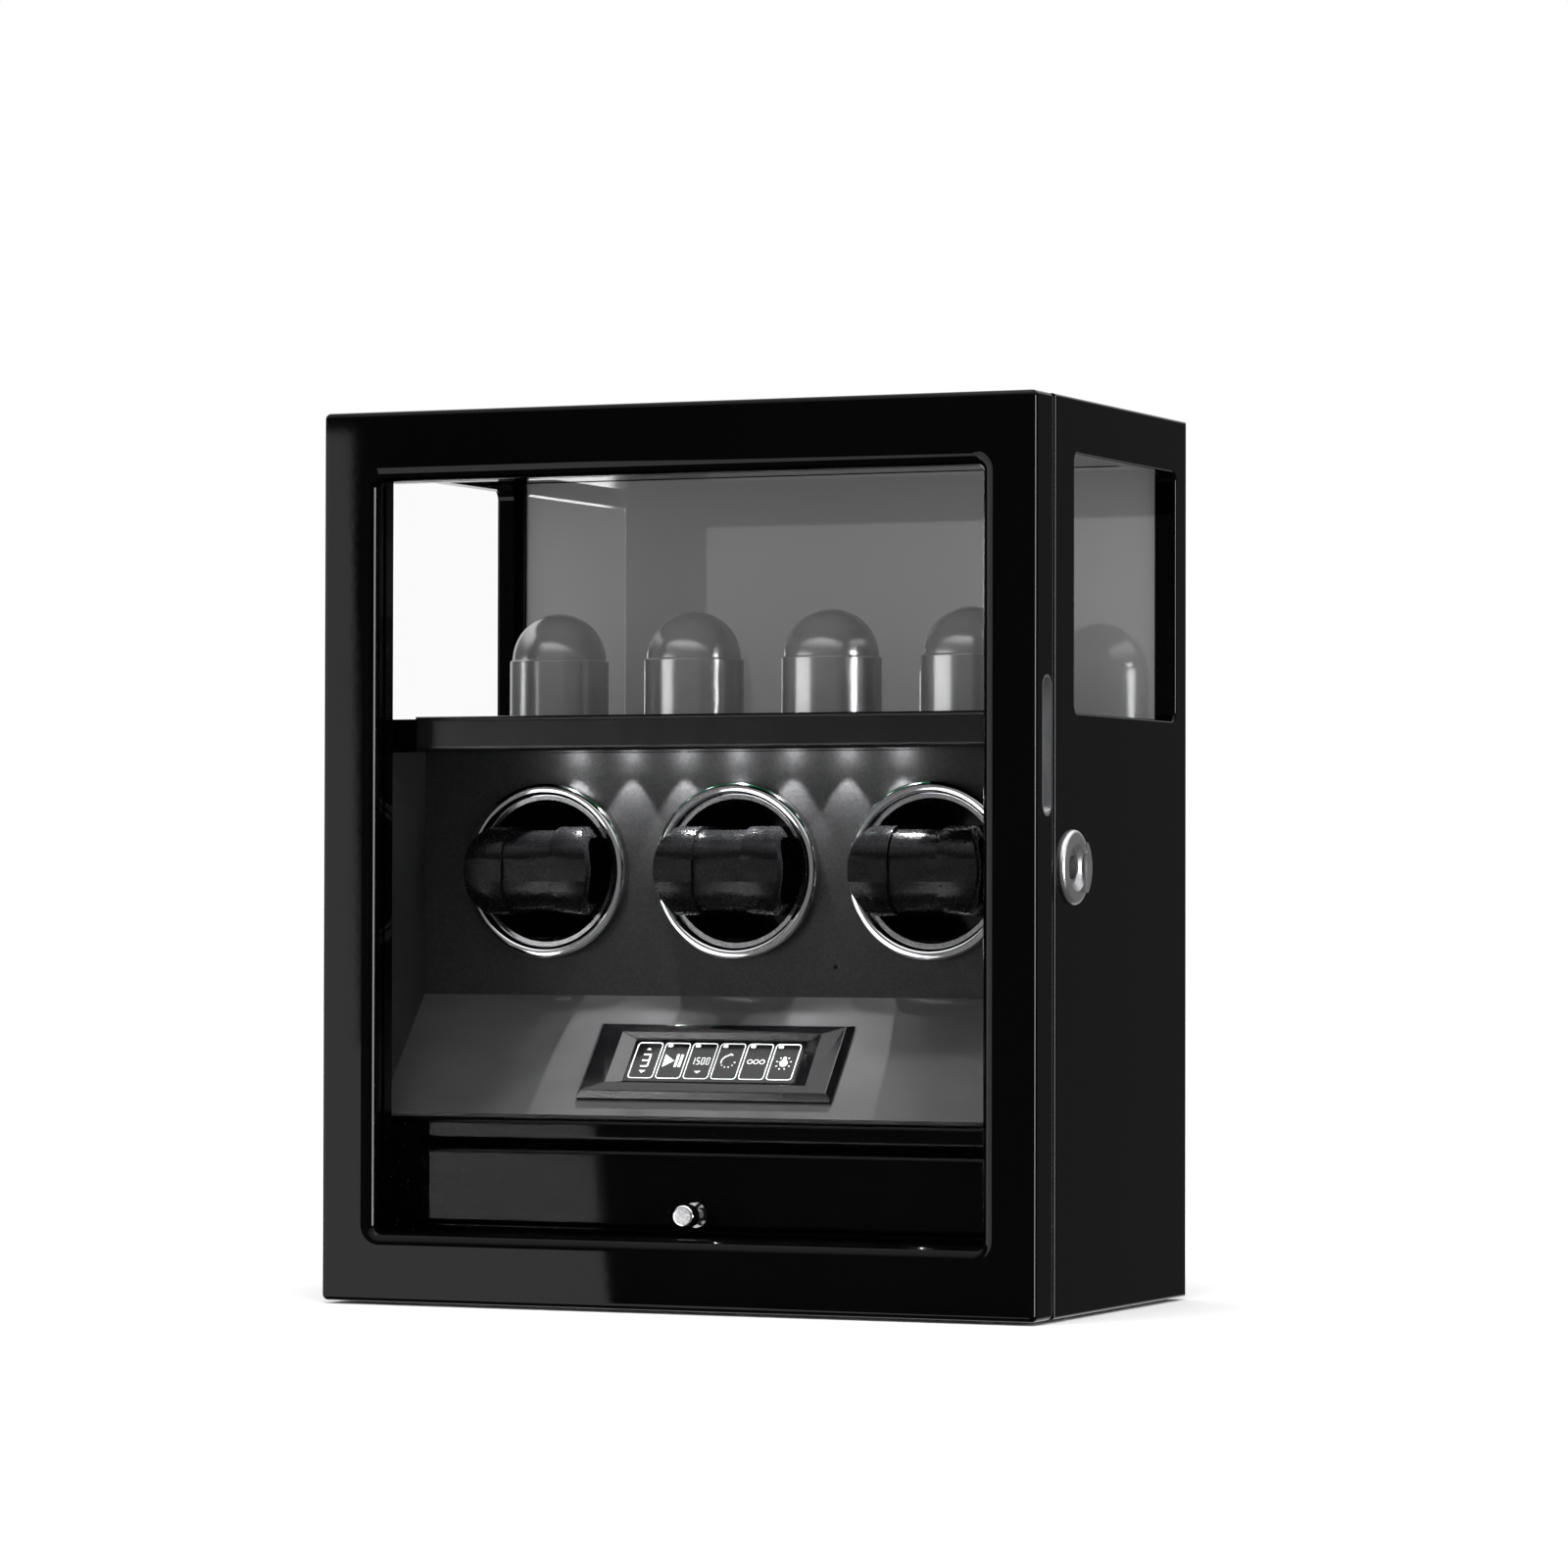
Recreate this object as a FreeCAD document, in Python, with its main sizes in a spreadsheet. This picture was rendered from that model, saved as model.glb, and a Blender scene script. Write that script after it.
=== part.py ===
import FreeCAD, Part
import math
import os
import re

import Sketcher

# Watch winder box: a lacquered cabinet with a glazed door, a display shelf with four domed stands,
# three motor-driven winding cups behind a lit fascia, a touch control panel and a small drawer.
# Millimetres, +Z up, front towards -Y. The origin is on the table, under the middle of the box.

SIZES = {
    # cabinet
    "width": 345.0,
    "depth": 191.0,
    "height": 400.0,
    "side_wall": 12.0,
    "top_wall": 20.0,
    "bottom_wall": 12.0,
    "back_wall": 4.5,
    "edge_round": 1.6,
    "foot_height": 1.5,
    "foot_radius": 8.0,
    "foot_inset": 24.0,
    # door
    "door_thickness": 22.5,
    "door_gap": 0.8,
    "door_stile": 26.0,
    "door_rail": 31.5,
    "door_round": 2.6,
    "opening_edge_round": 6.0,
    "opening_round": 3.0,
    "glass_setback": 8.5,
    "glass_thickness": 3.0,
    "glass_overlap": 6.0,
    "glass_clearance": 0.5,
    "retainer_depth": 7.0,
    # butt hinges at the left
    "hinge_length": 42.0,
    "hinge_end_distance": 62.0,
    "hinge_leaf_width": 7.4,
    "hinge_leaf_thickness": 1.0,
    "hinge_leaf_proud": 0.3,
    "barrel_radius": 3.2,
    "barrel_clearance": 0.5,
    "pin_radius": 1.3,
    "pin_clearance": 0.05,
    "knuckle_gap": 0.3,
    # finger pull in the right edge of the door
    "pull_height": 247.5,
    "pull_length": 61.0,
    "pull_width": 12.0,
    "pull_end": 5.4,
    "pull_depth": 7.0,
    "pull_wall": 1.2,
    "pull_back_margin": 2.6,
    # side windows and mirror
    "window_front_margin": 24.0,
    "window_back_margin": 15.0,
    "window_top_margin": 4.5,
    "window_round": 4.0,
    "window_edge_round": 1.5,
    "pane_thickness": 3.0,
    "pane_overlap": 5.0,
    "pane_clearance": 0.3,
    "mirror_thickness": 3.0,
    # shelf, deck and their rounded front trims
    "shelf_height": 262.5,
    "shelf_thickness": 15.0,
    "deck_height": 82.0,
    "deck_thickness": 10.0,
    "trim_setback": 7.2,
    "trim_depth": 5.5,
    "trim_end_gap": 18.5,
    "trim_overhang": 1.0,
    "trim_round": 2.4,
    # winding bay
    "cheek_thickness": 1.75,
    "fascia_setback": 51.7,
    "fascia_thickness": 6.0,
    "slope_top_height": 137.0,
    "slope_angle": 40.0,
    "slope_thickness": 3.0,
    "slope_lift": 2.2,
    "rotor_count": 3.0,
    "rotor_rise": 1.45,
    "rotor_pitch": 95.0,
    "sensor_radius": 1.1,
    "sensor_height": 150.5,
    "ring_radius": 40.3,
    "ring_bore": 32.5,
    "ring_depth": 6.5,
    "ring_round": 2.8,
    "ring_lip_width": 2.0,
    "ring_step": 3.4,
    "cup_radius": 35.5,
    "cup_wall": 2.5,
    "cup_floor": 3.0,
    "cup_depth": 48.0,
    "cup_gap": 1.5,
    # drive
    "gear_module": 1.0,
    "gear_teeth": 48.0,
    "pinion_teeth": 16.0,
    "gear_face": 5.0,
    "gear_backlash": 0.3,
    "gear_standoff": 4.0,
    "shaft_radius": 3.0,
    "shaft_overrun": 3.0,
    "running_clearance": 0.05,
    "bush_wall": 2.0,
    "bush_flange": 4.0,
    "bush_flange_thickness": 2.0,
    "bush_tail": 5.0,
    "plate_gap": 5.0,
    "plate_thickness": 3.0,
    "plate_side_margin": 10.0,
    "plate_top_margin": 12.0,
    "motor_radius": 12.0,
    "motor_rear_gap": 15.0,
    "motor_boss_radius": 4.0,
    "motor_shaft_radius": 1.5,
    "motor_shaft_seat": 8.0,
    # watch cuffs in the cups
    "cuff_reach": 26.0,
    "cuff_body_depth": 49.0,
    "cuff_half_height": 20.0,
    "cuff_corner": 15.0,
    "cuff_wall": 5.0,
    "cuff_clearance": 1.6,
    "cuff_groove_width": 24.0,
    "cuff_groove_depth": 1.6,
    "cuff_foot_width": 26.0,
    "cuff_foot_height": 18.0,
    "cuff_round": 1.2,
    # display stands
    "stand_count": 4.0,
    "stand_pitch": 68.4,
    "stand_radius": 22.8,
    "stand_dome_radius": 21.6,
    "stand_base_height": 28.4,
    "stand_setback": 77.5,
    "stand_round": 1.0,
    # lights under the shelf
    "lamp_pitch": 26.7,
    "lamp_count": 7.0,
    "lamp_size": 5.0,
    "lamp_thickness": 1.4,
    "lamp_board_width": 10.0,
    "lamp_board_thickness": 1.6,
    "lamp_board_margin": 9.0,
    "lamp_fascia_gap": 4.0,
    "lamp_recess": 3.6,
    "lamp_groove_gap": 0.4,
    # control panel on the slope
    "panel_length": 124.6,
    "panel_breadth": 43.0,
    "panel_proud": 4.0,
    "panel_bevel": 2.6,
    "panel_foot_gap": 8.6,
    "recess_length": 96.0,
    "recess_breadth": 29.0,
    "recess_depth": 2.2,
    "recess_ledge": 0.5,
    "screen_length": 83.0,
    "screen_breadth": 23.4,
    "screen_thickness": 1.5,
    "screen_clearance": 0.2,
    "board_gap": 6.0,
    "board_thickness": 1.6,
    "board_length": 90.0,
    "board_breadth": 30.0,
    # lock in the right side
    "lock_height": 195.0,
    "lock_setback": 21.0,
    "lock_radius": 16.5,
    "lock_proud": 2.4,
    "lock_round": 2.0,
    "lock_body_radius": 9.0,
    "lock_body_clearance": 0.3,
    "lock_plug_radius": 6.6,
    "lock_plug_rest": 2.4,
    "lock_dish_radius": 10.3,
    "lock_dish_depth": 2.2,
    "key_socket_radius": 5.2,
    "key_socket_depth": 8.0,
    "lip_height": 22.0,
    "lip_width": 6.5,
    "lip_proud": 1.4,
    "cam_thickness": 2.2,
    "cam_width": 6.0,
    "cam_reach": 16.0,
    "cam_nib": 6.0,
    "cam_nib_width": 3.2,
    "keeper_bar_radius": 1.3,
    "keeper_plate": 1.5,
    "keeper_leg": 2.0,
    "keeper_breadth": 8.0,
    "keeper_offset": 5.0,
    "keeper_clearance": 0.7,
    # drawer
    "drawer_side_gap": 21.0,
    "drawer_front_thickness": 10.0,
    "drawer_top_gap": 3.2,
    "bearer_height": 21.4,
    "drawer_bottom_gap": 0.5,
    "drawer_rail_setback": 3.5,
    "drawer_front_round": 2.4,
    "tray_wall": 6.0,
    "tray_floor": 4.0,
    "tray_rear_gap": 28.0,
    "tray_inset": 2.5,
    "tray_top_gap": 3.0,
    "bearer_depth": 14.0,
    "knob_length": 16.0,
    "knob_head_radius": 5.2,
    "knob_neck_radius": 3.0,
    "knob_flange_radius": 5.6,
    "knob_flange": 2.0,
    "knob_head": 7.0,
    "knob_round": 1.4,
    "knob_height": 40.8,
    # power inlet and screws at the back
    "jack_radius": 6.0,
    "jack_bore": 3.2,
    "jack_bore_depth": 9.0,
    "jack_length": 14.0,
    "jack_side_inset": 38.0,
    "jack_height": 100.0,
    "screw_radius": 2.6,
    "screw_head": 1.2,
    "screw_inset": 8.0,
    "fit_gap": 0.3,
}

PLACES = {
    "front": "-depth / 2",
    "rear": "depth / 2",
    "door_back": "front + door_thickness",
    "case_front": "door_back + door_gap",
    "half_width": "width / 2",
    "inner_half": "half_width - side_wall",
    "lining_half": "inner_half - cheek_thickness",
    "roof_top": "foot_height + height",
    "roof_under": "roof_top - top_wall",
    "floor_top": "foot_height + bottom_wall",
    "back_inside": "rear - back_wall",
    "mirror_front": "back_inside - mirror_thickness",
    "shelf_top": "foot_height + shelf_height",
    "shelf_under": "shelf_top - shelf_thickness",
    "deck_top": "foot_height + deck_height",
    "deck_under": "deck_top - deck_thickness",
    "trim_front": "case_front + trim_setback",
    "board_front": "trim_front + trim_depth",
    "trim_half": "inner_half - trim_end_gap",
    # door glazing
    "opening_half": "half_width - door_stile",
    "opening_low": "foot_height + door_rail",
    "opening_high": "roof_top - door_rail",
    "glass_front": "front + glass_setback",
    "glass_back": "glass_front + glass_thickness",
    "retainer_back": "glass_back + retainer_depth",
    # hinge axis, in the middle of the gap at the outer left corner
    "hinge_x": "-half_width",
    "hinge_y": "door_back + door_gap / 2",
    "hinge_low": "foot_height + hinge_end_distance",
    "hinge_high": "roof_top - hinge_end_distance - hinge_length",
    "knuckle": "(hinge_length - 2 * knuckle_gap) / 3",
    "leaf_start": "barrel_radius + barrel_clearance",
    # side windows
    "window_front": "case_front + window_front_margin",
    "window_back": "rear - window_back_margin",
    "window_low": "shelf_top",
    "window_high": "roof_under - window_top_margin",
    # winding bay
    "fascia_front": "case_front + fascia_setback",
    "fascia_back": "fascia_front + fascia_thickness",
    "slope_top": "foot_height + slope_top_height",
    "slope_foot": "deck_top + slope_lift",
    "slope_drop": "slope_top - slope_foot",
    "slope_length": "slope_drop / cos(slope_angle)",
    "slope_foot_front": "fascia_front - slope_drop * tan(slope_angle)",
    "rotor_z": "(slope_top + shelf_under) / 2 + rotor_rise",
    "ring_front": "fascia_front - ring_depth",
    "ring_lip": "ring_bore + ring_lip_width",
    "cup_front": "fascia_front + cup_gap",
    "cup_back": "cup_front + cup_depth",
    "cup_inner": "cup_radius - cup_wall",
    "cup_floor_front": "cup_back - cup_floor",
    "gear_front": "cup_back + gear_standoff",
    "gear_back": "gear_front + gear_face",
    "plate_front": "gear_back + plate_gap",
    "plate_back": "plate_front + plate_thickness",
    "bush_back": "plate_back + bush_tail",
    "shaft_back": "bush_back + shaft_overrun",
    "motor_back": "back_inside - motor_rear_gap",
    "gear_centres": "gear_module * (gear_teeth + pinion_teeth) / 2",
    "motor_z": "rotor_z - gear_centres",
    "cuff_front": "fascia_front - cuff_reach",
    "cuff_back": "cuff_front + cuff_body_depth",
    "cuff_radius": "ring_bore - cuff_clearance",
    # display stands
    "stand_y": "case_front + stand_setback",
    # lock
    "lock_y": "case_front + lock_setback",
    "lock_z": "foot_height + lock_height",
    "cam_outer": "lining_half - fit_gap",
    "cam_inner": "cam_outer - cam_thickness",
    "keeper_y": "lock_y - cam_reach + cam_nib_width + keeper_clearance + keeper_bar_radius",
    "keeper_z": "lock_z + keeper_offset",
    # drawer
    "drawer_half": "inner_half - drawer_side_gap",
    "bearer_top": "floor_top + bearer_height",
    "drawer_low": "bearer_top + drawer_bottom_gap",
    "drawer_high": "deck_under - drawer_top_gap",
    "drawer_back": "trim_front + drawer_front_thickness",
    "tray_half": "drawer_half - tray_inset",
    "tray_back": "back_inside - tray_rear_gap",
    "tray_high": "drawer_high - tray_top_gap",
    "knob_z": "foot_height + knob_height",
    "knob_front": "trim_front - knob_length",
    # power inlet
    "jack_x": "jack_side_inset - inner_half",
    "jack_z": "foot_height + jack_height",
}

WORD = re.compile(r"[a-z][a-z_0-9]*")

doc = FreeCAD.newDocument("watch_winder_box")


def make_sheets():
    """Driving sizes as plain numbers, and the places worked out from them as formulas."""
    sizes = doc.addObject("Spreadsheet::Sheet", "Sizes")
    for row, (name, value) in enumerate(SIZES.items(), 1):
        sizes.set(f"A{row}", name)
        sizes.set(f"B{row}", str(value))
        sizes.setAlias(f"B{row}", name)
    places = doc.addObject("Spreadsheet::Sheet", "Places")
    for row, (name, formula) in enumerate(PLACES.items(), 1):
        places.set(f"A{row}", name)
        places.set(f"B{row}", "=" + bound(formula))
        places.setAlias(f"B{row}", name)
    doc.recompute()
    return sizes, places


def bound(formula):
    """The formula with each size or place pointed at its spreadsheet cell."""

    def cell(match):
        word = match.group()
        if word in SIZES:
            return "Sizes." + word
        if word in PLACES:
            return "Places." + word
        return word

    return WORD.sub(cell, str(formula))


def value(name):
    """A size or place, read from its cell."""
    return float(getattr(sizes if name in SIZES else places, name))


def bind(item, **formulas):
    """Ties properties of an object to formulas. x, y and z are its place."""
    for prop, formula in formulas.items():
        path = "Placement.Base." + prop if prop in ("x", "y", "z") else prop
        item.setExpression(path, bound(formula))
    return item


def block(name, x, y, z):
    """A box that runs between two formulas along each axis."""
    box = doc.addObject("Part::Box", name)
    spans = (("Length", "x", x), ("Width", "y", y), ("Height", "z", z))
    for prop, axis, (low, high) in spans:
        bind(box, **{prop: f"({high}) - ({low})", axis: low})
    return box


def on_slope(inward, up):
    """A place on the control slope: inward from its face, and up from its foot."""
    return {
        "y": f"slope_foot_front + ({up}) * sin(slope_angle) + ({inward}) * cos(slope_angle)",
        "z": f"slope_foot + ({up}) * cos(slope_angle) - ({inward}) * sin(slope_angle)",
    }


def slope_turn():
    return FreeCAD.Rotation(FreeCAD.Vector(1, 0, 0), -value("slope_angle"))


def sloped_block(name, x, inward, up):
    """A box that lies with the control slope: inward from its face, and up from its foot."""
    box = doc.addObject("Part::Box", name)
    box.Placement.Rotation = slope_turn()
    spans = (("Length", x), ("Width", inward), ("Height", up))
    for prop, (low, high) in spans:
        bind(box, **{prop: f"({high}) - ({low})"})
    return bind(box, x=x[0], **on_slope(inward[0], up[0]))


def sloped_funnel(name, inward, up, depth, mouth, throat):
    """A tapered recess in the control slope, from a wide mouth to a narrower throat."""
    funnel = doc.addObject("Part::Wedge", name)
    funnel.Placement.Rotation = slope_turn()
    funnel.Ymin = 0
    bind(funnel, Ymax=depth, **on_slope(inward, up))
    for mark, (length, breadth) in (("", mouth), ("2", throat)):
        for axis, size in (("X", length), ("Z", breadth)):
            bind(funnel, **{f"{axis}{mark}max": f"({size}) / 2", f"{axis}{mark}min": f"-({size}) / 2"})
    return funnel


ALONG = {
    "x": FreeCAD.Rotation(FreeCAD.Vector(0, 1, 0), 90),
    "y": FreeCAD.Rotation(FreeCAD.Vector(1, 0, 0), -90),
    "z": FreeCAD.Rotation(),
}


def rod(name, axis, radius, span, **place):
    """A cylinder along an axis, between two formulas, centred on the other two."""
    cylinder = doc.addObject("Part::Cylinder", name)
    cylinder.Placement.Rotation = ALONG[axis]
    low, high = span
    bind(cylinder, Radius=radius, Height=f"({high}) - ({low})", **{axis: low}, **place)
    return cylinder


def fused(name, *pieces):
    fuse = doc.addObject("Part::MultiFuse", name)
    fuse.Shapes = list(pieces)
    return fuse


def cut(name, base, *tools):
    """The base with the tools taken out of it."""
    result = doc.addObject("Part::Cut", name)
    result.Base = base
    result.Tool = tools[0] if len(tools) == 1 else fused(name + "_cutters", *tools)
    return result


def common(name, first, second):
    result = doc.addObject("Part::Common", name)
    result.Base = first
    result.Tool = second
    return result


def grouped(name, *pieces):
    """Separate solids that share one node, such as a set of feet."""
    group = doc.addObject("Part::Compound", name)
    group.Links = list(pieces)
    return group


def edges_where(item, test):
    """Numbers of an object's edges whose midpoint and end-to-end direction pass a test."""
    doc.recompute()
    found = []
    for number, edge in enumerate(item.Shape.Edges, 1):
        if edge.Degenerated:
            continue
        first, last = edge.FirstParameter, edge.LastParameter
        middle = edge.valueAt((first + last) / 2)
        along = edge.valueAt(last) - edge.valueAt(first)
        if along.Length > 0:
            along.normalize()
        if test(middle, along):
            found.append(number)
    return found


def softened(name, item, kind, size, test):
    """Part::Fillet or Part::Chamfer on the edges that pass a test."""
    result = doc.addObject("Part::" + kind, name)
    result.Base = item
    result.Edges = [(number, value(size), value(size)) for number in edges_where(item, test)]
    return result


def rounded_along_x(name, item, radius):
    """Part::Fillet on the edges that run along X."""
    result = doc.addObject("Part::Fillet", name)
    result.Base = item
    numbers = edges_where(item, lambda at, along: near(abs(along.x), 1))
    result.Edges = [(number, radius, radius) for number in numbers]
    return result


def near(first, second, room=0.01):
    return abs(first - second) < room


def origin_plane(body, role):
    return next(item for item in body.Origin.OriginFeatures if item.Role == role)


def outline_sketch(body, name, plane, points):
    """A closed polyline whose corners are tied to formulas, on one of the body's own planes."""
    sketch = body.newObject("Sketcher::SketchObject", name)
    sketch.AttachmentSupport = [(origin_plane(body, plane), "")]
    sketch.MapMode = "FlatFace"
    corners = [FreeCAD.Vector(worth(u), worth(v), 0) for u, v in points]
    for start, end in zip(corners, corners[1:] + corners[:1]):
        sketch.addGeometry(Part.LineSegment(start, end), False)
    count = len(points)
    for side in range(count):
        sketch.addConstraint(Sketcher.Constraint("Coincident", side, 2, (side + 1) % count, 1))
    for side, (corner, formulas) in enumerate(zip(corners, points)):
        for kind, size, formula in zip(("DistanceX", "DistanceY"), corner, formulas):
            index = sketch.addConstraint(Sketcher.Constraint(kind, -1, 1, side, 1, size))
            sketch.setExpression(f"Constraints[{index}]", bound(formula))
    return sketch


def worth(formula):
    """The present value of a formula, worked out by the spreadsheet."""
    return float(places.evalExpression(bound(formula)))


def turned(name, axis, profile, **place):
    """A body of revolution: a profile of radius and height pairs, turned about an axis."""
    body = doc.addObject("PartDesign::Body", name)
    sketch = outline_sketch(body, name + "_profile", "XZ_Plane", profile)
    turn = body.newObject("PartDesign::Revolution", name + "_turn")
    turn.Profile = sketch
    turn.ReferenceAxis = (sketch, ["V_Axis"])
    turn.Angle = 360
    body.Tip = turn
    body.Placement.Rotation = ALONG[axis]
    return bind(body, **place)


def rounded_body(body, feature, kind, size, test):
    """Adds a PartDesign fillet or chamfer to a body, on the edges that pass a test."""
    numbers = edges_where(feature, test)
    result = body.newObject("PartDesign::" + kind, feature.Name + "_" + kind.lower())
    result.Base = (feature, [f"Edge{number}" for number in numbers])
    result.setExpression("Radius" if kind == "Fillet" else "Size", bound(size))
    body.Tip = result
    return result


def both_ways(formula):
    return (f"-({formula})", f"{formula}")


# Cabinet boards


def side_panel(name, sign):
    """A full-height side with a rebated window; the right one also takes the lock."""
    outer, inner = ("half_width", "inner_half")
    span = ("-half_width", "-inner_half") if sign < 0 else (inner, outer)
    board = block(name + "_board", span, ("case_front", "rear"), ("foot_height", "roof_top"))
    board = softened(name + "_eased", board, "Fillet", "edge_round", outer_edge(sign))
    light = block(
        name + "_light",
        ("-half_width - 1", "half_width + 1"),
        ("window_front", "window_back"),
        ("window_low", "window_high"),
    )
    light = softened(
        name + "_light_round", light, "Fillet", "window_round", lambda at, along: near(abs(along.x), 1)
    )
    rebate_span = ("-inner_half - pane_thickness", "-inner_half + 1")
    if sign > 0:
        rebate_span = ("inner_half - 1", "inner_half + pane_thickness")
    rebate = block(
        name + "_rebate",
        rebate_span,
        ("window_front - pane_overlap", "window_back + pane_overlap"),
        ("window_low - pane_overlap", "window_high + pane_overlap"),
    )
    cutters = [light, rebate]
    if sign > 0:
        cutters.append(lock_bore(name + "_lock_bore", ("inner_half - 1", "half_width + 1")))
    else:
        for low in ("hinge_low", "hinge_high"):
            cutters += hinge_pockets(name, low, 1)
    panel = cut(name + "_cut", board, *cutters)
    return softened(name, panel, "Fillet", "window_edge_round", window_rim(sign))


def outer_edge(sign):
    """Picks the long outer edges of a side panel."""
    face = sign * value("half_width")
    return lambda at, along: near(at.x, face) and not near(abs(along.x), 1)


def window_rim(sign):
    """Picks the edges round a window on the outer face of its side panel."""
    face = sign * value("half_width")
    front, back, low, high = (value("window_" + end) for end in ("front", "back", "low", "high"))

    def test(at, along):
        return near(at.x, face) and front - 1 < at.y < back + 1 and low - 1 < at.z < high + 1

    return test


def lock_bore(name, span):
    return rod(name, "x", "lock_body_radius + lock_body_clearance", span, y="lock_y", z="lock_z")


def window_pane(name, sign):
    """Glass let into the rebate on the inside of a side panel."""
    span = ("-inner_half - pane_thickness", "-inner_half")
    if sign > 0:
        span = ("inner_half", "inner_half + pane_thickness")
    reach = "pane_overlap - pane_clearance"
    return block(
        name,
        span,
        (f"window_front - ({reach})", f"window_back + ({reach})"),
        (f"window_low - ({reach})", f"window_high + ({reach})"),
    )


def eased_board(name, z, test):
    """A top or bottom board between the sides, with its outer edges eased."""
    board = block(name + "_board", both_ways("inner_half"), ("case_front", "rear"), z)
    return softened(name, board, "Fillet", "edge_round", test)


def make_cabinet():
    side_panel("left_side_panel", -1)
    side_panel("right_side_panel", 1)
    top, low = value("roof_top"), value("foot_height")
    eased_board(
        "top_panel",
        ("roof_under", "roof_top"),
        lambda at, along: near(at.z, top) and near(at.x, 0),
    )
    eased_board(
        "bottom_panel",
        ("foot_height", "floor_top"),
        lambda at, along: near(at.z, low) and near(at.x, 0),
    )
    grouped("side_window_glass", window_pane("left_window_pane", -1), window_pane("right_window_pane", 1))
    back = block(
        "back_panel_board",
        both_ways("inner_half"),
        ("back_inside", "rear"),
        ("floor_top", "roof_under"),
    )
    through = ("back_inside - 1", "rear + 1")
    inlet = rod("back_panel_inlet", "y", "jack_radius", through, x="jack_x", z="jack_z")
    heads = [
        rod(f"back_panel_seat_{number}", "y", "screw_radius", ("rear - screw_head", "rear + 1"), x=x, z=z)
        for number, (x, z) in enumerate(screw_spots(), 1)
    ]
    cut("back_panel", back, inlet, *heads)
    sunk = ("rear - screw_head", "rear")
    screws = [
        rod(f"back_screw_{number}", "y", "screw_radius - fit_gap / 2", sunk, x=x, z=z)
        for number, (x, z) in enumerate(screw_spots(), 1)
    ]
    grouped("back_panel_screws", *screws)
    block(
        "mirror_panel",
        both_ways("inner_half - fit_gap"),
        ("mirror_front", "back_inside"),
        ("shelf_top", "roof_under - fit_gap"),
    )
    feet = [
        rod(
            f"foot_{number}",
            "z",
            "foot_radius",
            ("0", "foot_height"),
            x=f"{sx} * (half_width - foot_inset)",
            y=f"{sy} * (depth / 2 - foot_inset) + (1 - {sy}) / 2 * (case_front - front)",
        )
        for number, (sx, sy) in enumerate(((-1, -1), (1, -1), (-1, 1), (1, 1)), 1)
    ]
    grouped("feet", *feet)


def screw_spots():
    """Places of the back panel's screws: the corners and the middle of each upright edge."""
    x = "inner_half - screw_inset"
    heights = ("floor_top + screw_inset", "(floor_top + roof_under) / 2", "roof_under - screw_inset")
    return [(f"{sign} * ({x})", z) for sign in (-1, 1) for z in heights]


# Shelf, deck and their trims


def trim_strip(name, low, high):
    """A strip with all its front edges rounded over, fixed to the front of a board."""
    strip = block(name + "_strip", both_ways("trim_half"), ("trim_front", "board_front"), (low, high))
    face = value("trim_front")
    return softened(name, strip, "Fillet", "trim_round", lambda at, along: near(at.y, face))


def make_shelves():
    deep = ("board_front", "back_inside")
    shelf = block("display_shelf_board", both_ways("inner_half"), deep, ("shelf_under", "shelf_top"))
    sunk = ("shelf_under - 1", "shelf_under + lamp_recess")
    groove = block("shelf_lamp_groove", *lamp_strip("lamp_groove_gap"), sunk)
    cut("display_shelf", shelf, groove)
    trim_strip("shelf_trim", "shelf_under", "shelf_top + trim_overhang")
    block("drawer_deck", both_ways("inner_half"), deep, ("deck_under", "deck_top"))
    trim_strip("deck_trim", "deck_under", "deck_top")


# Winding bay


ROTORS = range(1, int(SIZES["rotor_count"]) + 1)


def rotor_x(number):
    return f"({number} - (rotor_count + 1) / 2) * rotor_pitch"


def make_winding_bay():
    cheeks = []
    for side, span in (("left", ("-inner_half", "-lining_half")), ("right", ("lining_half", "inner_half"))):
        deep = ("case_front + fit_gap", "back_inside")
        cheek = block(f"{side}_cheek", span, deep, ("deck_top", "shelf_under"))
        if side == "right":
            bore = lock_bore("right_cheek_lock_bore", ("lining_half - 1", "inner_half + 1"))
            cheek = cut("right_cheek_bored", cheek, bore)
        cheeks.append(cheek)
    grouped("side_cheeks", *cheeks)
    board = block(
        "winder_fascia_board",
        both_ways("lining_half"),
        ("fascia_front", "fascia_back"),
        ("slope_top", "shelf_under"),
    )
    through = ("fascia_front - 1", "fascia_back + 1")
    holes = [
        rod(f"fascia_hole_{number}", "y", "cup_radius + cup_gap", through, x=rotor_x(number), z="rotor_z")
        for number in ROTORS
    ]
    sensor_at = {"x": "rotor_pitch / 2", "z": "foot_height + sensor_height"}
    sensor = rod("fascia_sensor_hole", "y", "sensor_radius", through, **sensor_at)
    cut("winder_fascia", board, *holes, sensor)
    for number in ROTORS:
        bezel_ring(number)
    make_lights()
    make_controls()


def bezel_ring(number):
    """A bright ring round the mouth of a cup, with a stepped lip inside."""
    name = f"bezel_ring_{number}"
    ring = turned(
        name,
        "y",
        [
            ("ring_bore", "ring_step"),
            ("ring_lip", "ring_step"),
            ("ring_lip", "0"),
            ("ring_radius", "0"),
            ("ring_radius", "ring_depth"),
            ("ring_bore", "ring_depth"),
        ],
        x=rotor_x(number),
        y="ring_front",
        z="rotor_z",
    )
    rounded_body(ring, ring.Tip, "Fillet", "ring_round", lambda at, along: near(at.z, 0))


def lamp_strip(gap):
    """Where the strip of lamps lies, across and front to back, with a gap round it."""
    half = f"(lamp_count - 1) / 2 * lamp_pitch + lamp_board_margin + {gap}"
    back = "fascia_front - lamp_fascia_gap"
    return both_ways(half), (f"{back} - lamp_board_width - {gap}", f"{back} + {gap}")


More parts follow.
